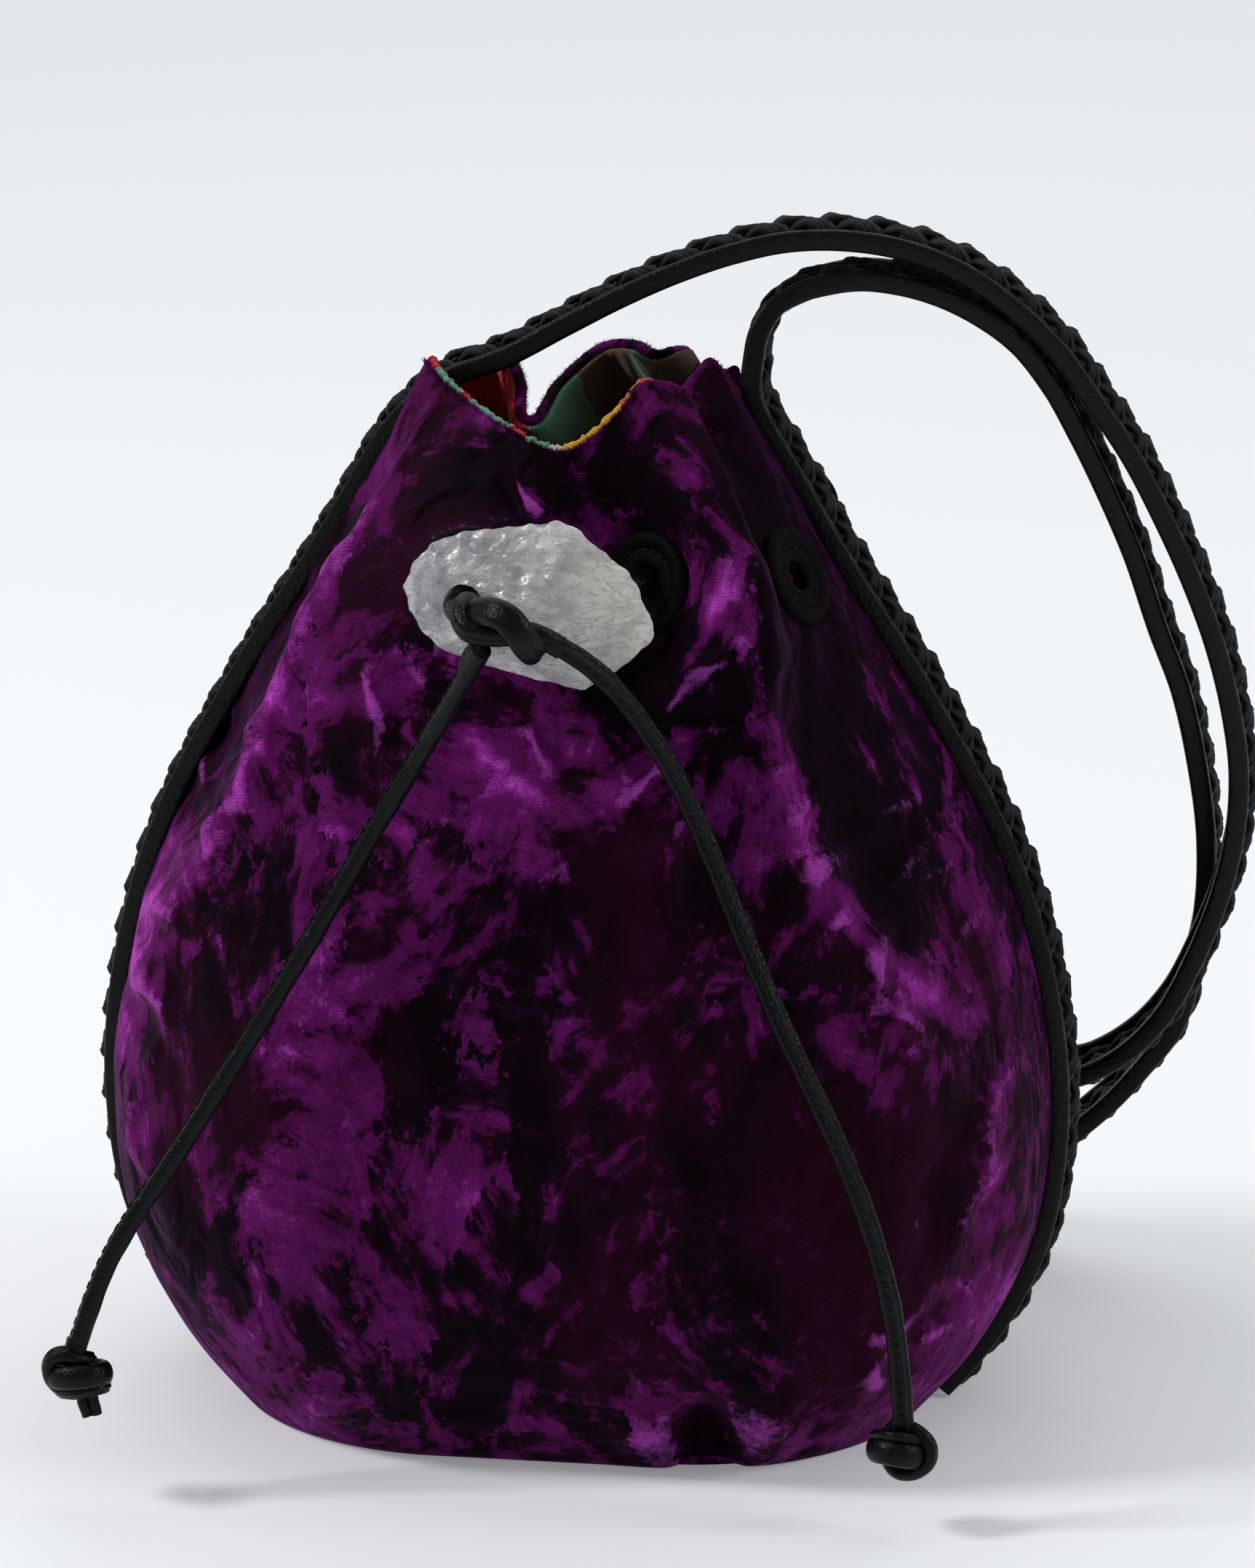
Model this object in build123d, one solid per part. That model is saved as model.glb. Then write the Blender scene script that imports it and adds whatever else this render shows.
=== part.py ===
"""Velvet drawstring pouch with a raw quartz toggle and a braided shoulder strap. Millimetres.

The origin is the centre of the base on the surface that the pouch stands on, +Z is up and the
front, with the toggle, faces -Y. The right side is +X.
"""
from build123d import *
import os
from math import pi, radians, tan

os.makedirs("parts", exist_ok=True)

# ---- walls: height, half width, half depth and corner radius of each level of the pouch ----
LEVELS = [
    (0, 80, 62, 54),
    (12, 90, 70, 62),
    (34, 102, 79, 70),
    (64, 107.5, 82.5, 74),
    (96, 105, 81, 72),
    (130, 95, 74, 64),
    (165, 76.5, 61.5, 52),
    (200, 54.5, 49, 34),
    (219, 43.5, 42.5, 27),
    (235, 33, 37, 20),
]
TOP = LEVELS[-1][0]
FAR = 150.0                     # beyond every wall, for the cutting blocks
GAP = 0.3                       # free space between two pieces that don't touch
VELVET = 2.0                    # thickness of the velvet
LINING = 1.0                    # thickness of the woven lining
BOARD = 1.5                     # thickness of the card in the base

# ---- side bands: an open braid between two leather edge strips ----
STRIP_WIDTH = 3.0               # along the band's width
STRIP_HEIGHT = 4.4              # through the band
BRAID_WIDTH = 12.4
BRAID_HEIGHT = 6.4
STRIP_CENTRE = BRAID_WIDTH / 2 + GAP + STRIP_WIDTH / 2
SLOT = 10.0                     # half of the slot that the side band fills
BAND_BOTTOM = 1.0
BAND_TOP = 223.5                # the strap starts above it, so that it can swing
BAND_OUT = 2.0                  # the band's middle stands this far out of the velvet's face
BAND_STATIONS = 24

# ---- eyelets: flat leather rings round the holes of the drawstring ----
EYELET_ROW = 7                  # the level that the eyelets lie on
EYELET_LEVEL = LEVELS[EYELET_ROW][0]
EYELET_RADIUS = 11.0
EYELET_HOLE = 3.2
EYELET_THICK = 2.6
EYELET_OUT = 0.9                # the flat ring touches the curved wall only near its rim
CORNER_EYELET_OUT = 1.9         # the outer eyelets lie where the wall curves more
CORNER_FROM = 30.0              # eyelets further out than this lie on a corner of the wall
EYELET_EDGE = 0.9               # radius of the eyelet's worn edge
DRILL = 40.0                    # length of the drill for an eyelet, longer than any wall is thick
THREADED = (-16.6, 20.0)        # the drawstring comes out of these two, on each side
EYELET_X = (-45.0, -16.6, 20.0, 45.0)

# ---- drawstring, quartz toggle and tails ----
CORD = 5.0                      # diameter of the sewn leather cord
TOGGLE_X = -14.0                # the hole through the quartz
TOGGLE_HOLE = 5.6
QUARTZ_BACK = -62.0
QUARTZ_WIDEST = -76.0
QUARTZ_FRONT = -88.0
QUARTZ_BACK_SIZE = 0.72         # the stone narrows towards its back and its front
QUARTZ_FRONT_SIZE = 0.66
LEG_BACK = -30.0                # the drawstring's two legs end here, inside the pouch
LEG_FRONT = -92.0
NECK_SPACE_X = 3.4              # free space beside the drawstring inside the neck
NECK_SPACE_Y = 2.8
NECK_CUT = 0.42                 # how much of the wall's corner the drawstring cuts off
BACK_SPACE = 2.4                # free space between the drawstring and the back eyelets
WIDE_TURN = 12.0                # radius of the drawstring's turns at the neck's corners
HOLE_TURN = 4.0                 # radius of its turns at the eyelets
CROSSING = -58.5                # one leg crosses behind the quartz here
CROSSING_TURN = 4.0             # radius of the crossing leg's turns
KNOT = (-8.0, -97.0, 199.0)
KNOT_RADII = (12.5, 7.0, 7.5)
END_KNOT_LEFT = (-98.7, -99.0, 30.0)
END_KNOT_RIGHT = (82.6, -90.0, 17.0)
END_KNOT_RADII = (7.5, 6.5, 7.0)
STUB = 12.0                     # how far a cut end stands below its knot

QUARTZ_OUTLINE = [
    (-28.4, 202), (-21.6, 213), (-15, 216), (-2, 216), (4.5, 218.5), (10, 217),
    (20.7, 207), (25.7, 194.5), (18.2, 186), (10, 182), (-12, 186.4), (-19, 188.2),
]

TAIL_LEFT = [
    (-8, -96, 195), (-14, -90, 184.5), (-22, -83.5, 171), (-34, -81, 151), (-47, -84.5, 127.5),
    (-63.5, -88, 100), (-78, -91, 76.5), (-88.5, -94, 61), (-94.5, -96.5, 48), (-98.4, -98.6, 35),
]
TAIL_RIGHT = [
    (-5, -97, 198.8), (4.5, -96, 198.2), (13.5, -91.5, 192.2), (21.5, -87, 183), (30.5, -83.5, 168),
    (38.5, -82.5, 150), (47, -85, 130), (56, -88.5, 110.5), (66, -90, 91), (74.2, -90.4, 71),
    (79.5, -90.4, 52), (81.8, -90.1, 34), (82.5, -90, 22),
]

# ---- strap: the left leg, the loop on the ground behind the pouch, then the right leg ----
STRAP_ROUTE = [
    (-32, 0, 234), (-17, 1, 240.2), (-3.5, 2.5, 247.5), (8.5, 4, 253.8), (21, 5.5, 259.4),
    (33, 7, 263.6), (45, 8.5, 266.3), (59, 10, 266.6), (71, 11.5, 264.6), (83.5, 13, 259.6),
    (94, 15, 252.3), (104.5, 17, 242.3), (113, 19, 230.3), (121.3, 22, 217.4),
    (128.8, 24.5, 202.8), (135.4, 27, 188), (140.8, 30, 173), (144.7, 33, 157.5),
    (146.9, 36, 141.5), (146.4, 38, 126.5), (143.6, 40, 112), (138, 43, 95.2),
    (130.6, 48.5, 79), (121.5, 55, 67.2), (110, 63, 58.5), (95, 73, 54.5), (78, 82.5, 53),
    (60, 90, 53), (42, 94.5, 53), (22, 96, 51.8), (4, 96, 45), (-3.5, 96, 28), (4, 96, 11),
    (22, 96, 4.2), (40, 96, 3.6), (58, 95.5, 3.7), (75, 94, 6.8), (92, 91, 19), (108, 87.5, 35.5),
    (117, 84, 45.2), (125, 80, 56), (132, 75.5, 67.3), (136.8, 70, 87), (139, 64.5, 104.2),
    (139, 59.5, 120), (136.8, 54, 138), (132.6, 47.5, 158), (127.3, 41, 174), (121.2, 35, 193.2),
    (115.7, 31, 206.8), (109.2, 27, 221), (102.7, 23.5, 233.2), (95.3, 20.5, 242.8),
    (86.7, 18, 249.4), (78, 16, 253.8), (69.4, 14, 256.4), (60.8, 12, 257.4), (54, 10, 256.7),
    (47.4, 8, 254.7), (42.3, 6, 251.2), (39.4, 4, 246), (38.4, 2.5, 240), (38.3, 1, 234),
]
STRAP_STATIONS = 84


def write(name, shape):
    export_step(shape, f"parts/{name}.step")


def block(x0, x1, y0, y1, z0, z1):
    """A box between six planes."""
    middle = ((x0 + x1) / 2, (y0 + y1) / 2, (z0 + z1) / 2)
    return Pos(*middle) * Box(x1 - x0, y1 - y0, z1 - z0)


# ---------------------------------------------------------------- walls and base

def solid_pouch(inset):
    """The whole pouch as one solid, with its face moved in by inset."""
    faces = []
    for z, half_width, half_depth, corner in LEVELS:
        outline = RectangleRounded(
            2 * (half_width - inset), 2 * (half_depth - inset), corner - inset
        )
        faces.append(Pos(0, 0, z) * outline)
    return loft(faces)


def wall(outer, inner):
    """An open tube between two insets."""
    return solid_pouch(outer) - solid_pouch(inner)


def base_plate(inset, z0, thickness):
    """A flat sheet that fills the walls' foot."""
    _, half_width, half_depth, corner = LEVELS[0]
    outline = RectangleRounded(
        2 * (half_width - inset), 2 * (half_depth - inset), corner - inset
    )
    return extrude(Pos(0, 0, z0) * outline, amount=thickness)


def wall_y(x):
    """How far forward the wall's face is at x, at the height of the eyelets."""
    _, half_width, half_depth, corner = LEVELS[EYELET_ROW]
    along = max(abs(x) - (half_width - corner), 0)
    return half_depth - corner + (corner**2 - along**2) ** 0.5


def eyelet_frame(x, side):
    """The plane of an eyelet on the front (side -1) or the back (side 1), facing outwards."""
    y = wall_y(x)
    _, half_width, _, corner = LEVELS[EYELET_ROW]
    along = max(abs(x) - (half_width - corner), 0)
    out_x = along / corner if x > 0 else -along / corner
    out_y = (1 - (along / corner) ** 2) ** 0.5
    lower, upper = LEVELS[EYELET_ROW - 1], LEVELS[EYELET_ROW + 1]
    lean_x = (lower[1] - upper[1]) / (upper[0] - lower[0])
    lean_y = (lower[2] - upper[2]) / (upper[0] - lower[0])
    lean = abs(out_x) * lean_x + out_y * lean_y
    normal = Vector(out_x, side * out_y, lean).normalized()
    out = CORNER_EYELET_OUT if abs(x) > CORNER_FROM else EYELET_OUT
    face = Vector(x, side * y, EYELET_LEVEL) + normal * out
    return Plane(origin=face, x_dir=Vector(0, 0, 1).cross(normal), z_dir=normal)


def hole_through(x, side):
    """The drill for one eyelet: along Y where the drawstring comes out, else square to the wall."""
    drill = Cylinder(EYELET_HOLE, DRILL)
    if x in THREADED:
        return Pos(x, side * wall_y(x), EYELET_LEVEL) * Rot(90, 0, 0) * drill
    return eyelet_frame(x, side) * drill


def make_walls():
    slot = block(-FAR, FAR, -SLOT, SLOT, -1, TOP + 1)
    holes = []
    for side in (-1, 1):
        for x in EYELET_X:
            holes.append(hole_through(x, side))
    velvet = wall(0, VELVET) - slot
    velvet = velvet - holes
    lining_out = VELVET + GAP
    lining = wall(lining_out, lining_out + LINING)
    foot = VELVET + GAP
    lining = lining - block(-FAR, FAR, -FAR, FAR, -1, foot)
    lining = lining - block(-FAR, FAR, -SLOT, SLOT, BAND_TOP - 1, TOP + 1)
    lining = lining - holes
    front = block(-FAR, FAR, -FAR, -GAP / 2, -1, TOP + 1)
    back = block(-FAR, FAR, GAP / 2, FAR, -1, TOP + 1)
    write("front_velvet", velvet & front)
    write("back_velvet", velvet & back)
    write("front_lining", lining & front)
    write("back_lining", lining & back)


def make_base():
    lining_in = VELVET + GAP + LINING + GAP
    board_z = VELVET + GAP
    write("base_velvet", base_plate(VELVET + GAP, 0, VELVET))
    write("base_board", base_plate(lining_in, board_z, BOARD))
    write("base_lining", base_plate(lining_in, board_z + BOARD + GAP, LINING))


# ---------------------------------------------------------------- side bands

def band_curve(distance):
    """The side's outline in the XZ plane, moved outwards by a distance."""
    outline = Spline(*[(half_width, 0, z) for z, half_width, _, _ in LEVELS])
    points = []
    for i in range(BAND_STATIONS + 1):
        where = outline @ (i / BAND_STATIONS)
        along = outline % (i / BAND_STATIONS)
        points.append(where + Vector(along.Z, 0, -along.X) * distance)
    return Spline(*points)


def side_band(y0, y1, height, side):
    """A band of constant height along the side, from y0 to y1."""
    inner = band_curve(BAND_OUT - height / 2)
    outer = band_curve(BAND_OUT + height / 2)
    foot = Line(inner @ 0, outer @ 0)
    head = Line(outer @ 1, inner @ 1)
    face = make_face([inner, head, outer, foot])
    band = extrude(face, amount=y1 - y0, dir=(0, 1, 0))
    band = Pos(0, y0, 0) * band
    band = band & block(0, FAR, -SLOT, SLOT, BAND_BOTTOM, BAND_TOP)
    if side < 0:
        band = mirror(band, about=Plane.YZ)
    return band


def make_side_bands():
    half = STRIP_WIDTH / 2
    for side, name in ((-1, "left"), (1, "right")):
        front = side_band(-STRIP_CENTRE - half, -STRIP_CENTRE + half, STRIP_HEIGHT, side)
        back = side_band(STRIP_CENTRE - half, STRIP_CENTRE + half, STRIP_HEIGHT, side)
        write(f"{name}_seam_strip_front", front)
        write(f"{name}_seam_strip_back", back)
        write(f"{name}_seam_braid", side_band(-BRAID_WIDTH / 2, BRAID_WIDTH / 2, BRAID_HEIGHT, side))


# ---------------------------------------------------------------- strap

def strap_piece(offset, width, height):
    """One band of the strap: its sections keep their width along Y as far as the route lets them."""
    route = Spline(*STRAP_ROUTE)
    sections = []
    for i in range(STRAP_STATIONS + 1):
        where = route @ (i / STRAP_STATIONS)
        along = route % (i / STRAP_STATIONS)
        across = (Vector(0, 1, 0) - along * along.Y).normalized()
        plane = Plane(origin=where + across * offset, x_dir=across, z_dir=along)
        sections.append(plane * Rectangle(width, height))
    return loft(sections, ruled=True)


def make_strap():
    write("strap_strip_front", strap_piece(-STRIP_CENTRE, STRIP_WIDTH, STRIP_HEIGHT))
    write("strap_strip_back", strap_piece(STRIP_CENTRE, STRIP_WIDTH, STRIP_HEIGHT))
    write("strap_braid", strap_piece(0, BRAID_WIDTH, BRAID_HEIGHT))
    print("strap length", round(Spline(*STRAP_ROUTE).length))


# ---------------------------------------------------------------- eyelets

def make_eyelets():
    for side, name in ((-1, "front"), (1, "back")):
        for number, x in enumerate(EYELET_X, 1):
            ring = Cylinder(EYELET_RADIUS, EYELET_THICK)
            rim = ring.edges().filter_by(GeomType.CIRCLE).sort_by(Axis.Z)[-1]
            ring = fillet(rim, EYELET_EDGE)
            ring = eyelet_frame(x, side) * Pos(0, 0, EYELET_THICK / 2) * ring
            write(f"{name}_eyelet_{number}", ring - hole_through(x, side))


# ---------------------------------------------------------------- cords

def corner_radii(points):
    """Arc radii for a loose cord's route: as large as the two runs at each corner allow."""
    radii = []
    for before, here, after in zip(points, points[1:], points[2:]):
        run_in = Vector(*here) - Vector(*before)
        run_out = Vector(*after) - Vector(*here)
        turn = radians(run_in.get_angle(run_out))
        radii.append(0.45 * min(run_in.length, run_out.length) / tan(turn / 2))
    return radii


def cord_along(path):
    start = path @ 0
    section = Plane(origin=start, z_dir=path % 0) * Circle(CORD / 2)
    return sweep(section, path=path)


def make_tail(name, points):
    radii = corner_radii(points)
    path = FilletPolyline(*points, radius=radii)
    tube = cord_along(path)
    section_area = pi * (CORD / 2) ** 2
    print(name, "length", round(path.length, 1), "radii", [round(r) for r in radii])
    print(name, "volume over section times length", round(tube.volume / section_area / path.length, 4))
    write(name, tube)


def make_drawstring():
    """The drawstring lies inside the neck and crosses the back outside, between two eyelets."""
    inset = VELVET + GAP + LINING + GAP + CORD / 2
    _, half_width, half_depth, corner = LEVELS[EYELET_ROW]
    side_x = half_width - inset - NECK_SPACE_X
    side_y = half_depth - inset - NECK_SPACE_Y
    cut = NECK_CUT * corner
    z = EYELET_LEVEL
    left, right = THREADED
    outside = half_depth + EYELET_THICK + GAP + CORD / 2 + BACK_SPACE
    leg_room = CORD + 2 * GAP
    points = [
        (left - leg_room, -side_y, z),
        (-side_x, cut - side_y, z),
        (-side_x, side_y - cut, z),
        (cut - side_x, side_y, z),
        (left, side_y, z),
        (left, outside, z),
        (right, outside, z),
        (right, side_y, z),
        (side_x - cut, side_y, z),
        (side_x, side_y - cut, z),
        (side_x, cut - side_y, z),
        (right + leg_room, -side_y, z),
    ]
    radii = [WIDE_TURN] * 2 + [HOLE_TURN] * 6 + [WIDE_TURN] * 2
    path = FilletPolyline(*points, radius=radii)
    print("drawstring inside the neck", round(path.length))
    write("drawstring_inner", cord_along(path))


def make_legs():
    """The two ends of the drawstring come out of the front eyelets and run through the quartz."""
    side_by_side = CORD / 2 + 0.1
    left_x = TOGGLE_X - side_by_side
    right_x = TOGGLE_X + side_by_side
    z = EYELET_LEVEL
    left = Line((left_x, LEG_BACK, z), (left_x, LEG_FRONT, z))
    right = FilletPolyline(
        (THREADED[1], LEG_BACK, z),
        (THREADED[1], CROSSING, z),
        (right_x, CROSSING, z),
        (right_x, LEG_FRONT, z),
        radius=CROSSING_TURN,
    )
    write("drawstring_leg_left", cord_along(left))
    write("drawstring_leg_right", cord_along(right))


def knot(centre, radii):
    return Pos(*centre) * scale(Sphere(1), by=radii)


def make_knots():
    write("toggle_knot", knot(KNOT, KNOT_RADII))
    for name, centre in (("left", END_KNOT_LEFT), ("right", END_KNOT_RIGHT)):
        stub = Pos(centre[0], centre[1], centre[2] - STUB / 2) * Cylinder(CORD / 2, STUB)
        write(f"end_knot_{name}", knot(centre, END_KNOT_RADII) + stub)


def quartz_level(y, size):
    """The stone's outline in the plane at y, shrunk about its middle."""
    middle_x = sum(x for x, _ in QUARTZ_OUTLINE) / len(QUARTZ_OUTLINE)
    middle_z = sum(z for _, z in QUARTZ_OUTLINE) / len(QUARTZ_OUTLINE)
    corners = []
    for x, z in QUARTZ_OUTLINE:
        corners.append((middle_x + (x - middle_x) * size, y, middle_z + (z - middle_z) * size))
    return make_face(Polyline(*corners, close=True))


def make_quartz():
    widest = quartz_level(QUARTZ_WIDEST, 1)
    back = loft([quartz_level(QUARTZ_BACK, QUARTZ_BACK_SIZE), widest], ruled=True)
    front = loft([widest, quartz_level(QUARTZ_FRONT, QUARTZ_FRONT_SIZE)], ruled=True)
    drill = Cylinder(TOGGLE_HOLE, DRILL)
    hole = Pos(TOGGLE_X, QUARTZ_WIDEST, EYELET_LEVEL) * Rot(90, 0, 0) * drill
    write("quartz_toggle", back + front - hole)


make_walls()
make_base()
make_side_bands()
make_strap()
make_eyelets()
make_drawstring()
make_legs()
make_knots()
make_quartz()
make_tail("tail_left", TAIL_LEFT)
make_tail("tail_right", TAIL_RIGHT)
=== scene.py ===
import math

import bmesh
import bpy
import numpy as np
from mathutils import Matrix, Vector


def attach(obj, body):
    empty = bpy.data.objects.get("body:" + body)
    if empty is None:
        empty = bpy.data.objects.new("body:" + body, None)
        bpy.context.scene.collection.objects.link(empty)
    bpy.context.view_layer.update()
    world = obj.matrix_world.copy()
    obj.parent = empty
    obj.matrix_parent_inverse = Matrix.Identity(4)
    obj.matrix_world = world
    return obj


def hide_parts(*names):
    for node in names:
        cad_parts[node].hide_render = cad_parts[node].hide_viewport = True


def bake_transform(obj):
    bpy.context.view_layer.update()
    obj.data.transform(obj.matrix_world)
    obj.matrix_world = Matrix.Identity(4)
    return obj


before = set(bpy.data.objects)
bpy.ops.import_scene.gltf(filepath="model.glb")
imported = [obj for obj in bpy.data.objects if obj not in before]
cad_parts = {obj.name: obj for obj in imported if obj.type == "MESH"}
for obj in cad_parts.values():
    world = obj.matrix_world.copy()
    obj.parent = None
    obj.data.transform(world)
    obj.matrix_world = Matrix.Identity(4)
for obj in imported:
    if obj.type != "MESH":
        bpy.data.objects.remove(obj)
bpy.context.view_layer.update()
MM = 0.001

# Everything below is in millimetres in the row frame until a mesh is made.
# ------------------------------------------------------------------ camera and stage

CAMERA_AZIMUTH = math.radians(8)
CAMERA_ELEVATION = math.radians(15)
CAMERA_DISTANCE = 1300
CAMERA_TARGET = np.array([9.5, 0.0, 141.0])
LENS, SENSOR_WIDTH = 131.1, 36
FAR_CLIP = 50


def smoothstep(low, high, value):
    t = np.clip((np.asarray(value, float) - low) / (high - low), 0, 1)
    return t * t * (3 - 2 * t)


def unit(vectors):
    vectors = np.asarray(vectors, float)
    return vectors / np.maximum(np.linalg.norm(vectors, axis=-1, keepdims=True), 1e-12)


def make_camera():
    back = np.array([
        math.sin(CAMERA_AZIMUTH) * math.cos(CAMERA_ELEVATION),
        -math.cos(CAMERA_AZIMUTH) * math.cos(CAMERA_ELEVATION),
        math.sin(CAMERA_ELEVATION),
    ])
    data = bpy.data.cameras.new("camera")
    data.lens = LENS
    data.sensor_width = SENSOR_WIDTH
    data.clip_end = FAR_CLIP
    camera = bpy.data.objects.new("camera", data)
    bpy.context.scene.collection.objects.link(camera)
    camera.location = Vector((CAMERA_TARGET + back * CAMERA_DISTANCE) * MM)
    camera.rotation_euler = Vector(back).to_track_quat("Z", "Y").to_euler()
    bpy.context.scene.camera = camera


# Name, place, aim, size in metres and watts.
LIGHTS = [
    ("key", (-1.4, -0.5, 1.5), (0, 0, 0.12), (0.35, 0.35), 20),
    ("side", (1.5, -0.1, 0.9), (0, 0, 0.12), (0.4, 0.7), 7),
    ("sky", (0, 2.4, 2.6), (0, 2.4, 0), (4.0, 4.4), 54),
]
FLOOR_SIZE = 24
FLOOR_MIDDLE = (0, 4, -0.0004)  # a hair under the object's foot
WORLD_COLOUR = (0.84, 0.87, 0.90, 1)
WORLD_STRENGTH = 0.31


def area_light(name, place, target, size, watts):
    data = bpy.data.lights.new(name, "AREA")
    data.shape = "RECTANGLE"
    data.size, data.size_y = size
    data.energy = watts
    lamp = bpy.data.objects.new(name, data)
    bpy.context.scene.collection.objects.link(lamp)
    lamp.location = place
    aim = Vector(place) - Vector(target)
    lamp.rotation_euler = aim.to_track_quat("Z", "Y").to_euler()


def make_stage():
    bpy.context.scene.view_settings.view_transform = "Standard"
    bpy.ops.mesh.primitive_plane_add(size=FLOOR_SIZE, location=FLOOR_MIDDLE)
    floor = bpy.context.object
    floor.name = "floor"
    floor.data.materials.append(Maker("floor_paper").finish({
        "Base Color": (0.80, 0.81, 0.82), "Roughness": 0.8, "Specular IOR Level": 0.1,
        "Emission Color": (0.93, 0.96, 1.0), "Emission Strength": 0.20,
    }))
    world = bpy.data.worlds.new("world")
    bpy.context.scene.world = world
    world.use_nodes = True
    background = world.node_tree.nodes["Background"]
    background.inputs["Color"].default_value = WORLD_COLOUR
    background.inputs["Strength"].default_value = WORLD_STRENGTH
    for light in LIGHTS:
        area_light(*light)


# ------------------------------------------------------------------ materials

BLACK, WHITE = (0, 0, 0), (1, 1, 1)


class Maker:
    """Short calls for building one material's node tree."""

    def __init__(self, name):
        self.material = bpy.data.materials.new(name)
        self.material.use_nodes = True
        self.tree = self.material.node_tree
        self.coords = self.node("TexCoord").outputs

    def fill(self, node, sockets):
        """Link what another node gives, and set what is a number, a triple or a colour."""
        for name, value in sockets.items():
            socket = node.inputs[name]
            if isinstance(value, bpy.types.NodeSocket):
                self.tree.links.new(value, socket)
            elif socket.type == "RGBA":
                socket.default_value = (*value, 1)
            else:
                socket.default_value = value
        return node

    def node(self, kind, sockets=None):
        return self.fill(self.tree.nodes.new("ShaderNode" + kind), sockets or {})

    def finish(self, sockets):
        """Fill the shader's own sockets and hand back the material."""
        self.fill(self.tree.nodes["Principled BSDF"], sockets)
        return self.material

    def stretched(self, scale=(1, 1, 1), turn=(0, 0, 0)):
        sockets = {"Vector": self.coords["Object"], "Scale": scale, "Rotation": turn}
        return self.node("Mapping", sockets).outputs["Vector"]

    def noise(self, vector, scale, detail=4.0, roughness=0.55, distortion=0.0, output="Fac"):
        return self.node("TexNoise", {
            "Vector": vector, "Scale": scale, "Detail": detail, "Roughness": roughness,
            "Distortion": distortion,
        }).outputs[output]

    def cells(self, vector, scale):
        return self.node("TexVoronoi", {"Vector": vector, "Scale": scale}).outputs

    def bands(self, vector, direction, sockets):
        node = self.node("TexWave", {"Vector": vector, **sockets})
        node.bands_direction = direction
        return node.outputs["Fac"]

    def operate(self, kind, operation, values):
        node = self.node(kind)
        node.operation = operation
        return self.fill(node, dict(enumerate(values)))

    def math(self, operation, *values):
        return self.operate("Math", operation, values).outputs["Value"]

    def total(self, *shares):
        """The sum of some values, each times its weight."""
        result = self.math("MULTIPLY", *shares[0])
        for value, weight in shares[1:]:
            result = self.math("MULTIPLY_ADD", value, weight, result)
        return result

    def pushed(self, vector, distance):
        """The vector moved about by a fine noise, for ragged edges."""
        noise = self.noise(vector, 160, 5, 0.7, output="Color")
        values = (noise, (distance,) * 3, vector)
        return self.operate("VectorMath", "MULTIPLY_ADD", values).outputs["Vector"]

    def streaks(self, vector, angle, stretch, scale):
        """Long streaks whose direction turns with the angle."""
        turned = self.node("VectorRotate", {"Vector": vector, "Axis": (0.25, 1, 0.1), "Angle": angle})
        values = (turned.outputs["Vector"], (1, 1, stretch))
        vector = self.operate("VectorMath", "MULTIPLY", values).outputs["Vector"]
        return self.noise(vector, scale, 6, 0.66, 0.3)

    def attribute(self, name):
        node = self.node("Attribute")
        node.attribute_name = name
        return node.outputs["Fac"]

    def ramp(self, factor, stops, interpolation="LINEAR"):
        node = self.node("ValToRGB", {"Fac": factor})
        node.color_ramp.interpolation = interpolation
        while len(node.color_ramp.elements) < len(stops):
            node.color_ramp.elements.new(0.5)
        for element, (place, colour) in zip(node.color_ramp.elements, stops):
            element.position = place
            element.color = (*colour, 1)
        return node.outputs["Color"]

    def rise(self, factor, low, high):
        """Nought up to low and one from high on."""
        return self.ramp(factor, [(low, BLACK), (high, WHITE)])

    def line(self, factor, low, middle, high):
        """One at the middle, and nought under low and over high."""
        return self.ramp(factor, [(low, BLACK), (middle, WHITE), (high, BLACK)])

    def mix(self, factor, first, second, mode="MIX"):
        node = self.node("Mix")
        node.data_type = "RGBA"
        node.blend_type = mode
        return self.fill(node, {0: factor, 6: first, 7: second}).outputs[2]

    def shaded(self, colour, value):
        """The colour times a grey value."""
        grey = self.node("CombineColor", {"Red": value, "Green": value, "Blue": value})
        return self.mix(1.0, colour, grey.outputs["Color"], "MULTIPLY")

    def bump(self, height, strength, distance, normal=None):
        sockets = {"Height": height, "Strength": strength, "Distance": distance}
        if normal is not None:
            sockets["Normal"] = normal
        return self.node("Bump", sockets).outputs["Normal"]


# The pile's colours, from where it stands away to where it lies flat.
PILE_COLOURS = [
    (0.40, (0.0026, 0.0001, 0.0021)), (0.465, (0.010, 0.0004, 0.008)),
    (0.49, (0.028, 0.0011, 0.022)), (0.525, (0.072, 0.0030, 0.062)),
    (0.68, (0.125, 0.0070, 0.116)), (0.80, (0.26, 0.022, 0.26)), (0.92, (0.46, 0.060, 0.48)),
]
# The second colour is a painted highlight, the bright magenta put on the ridges and the crease streaks; the
# first is a random dark red tint of the pile.
CRIMSON, PAINTED_HIGHLIGHT = (0.036, 0.0006, 0.016), (0.56, 0.085, 0.60)


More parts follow.
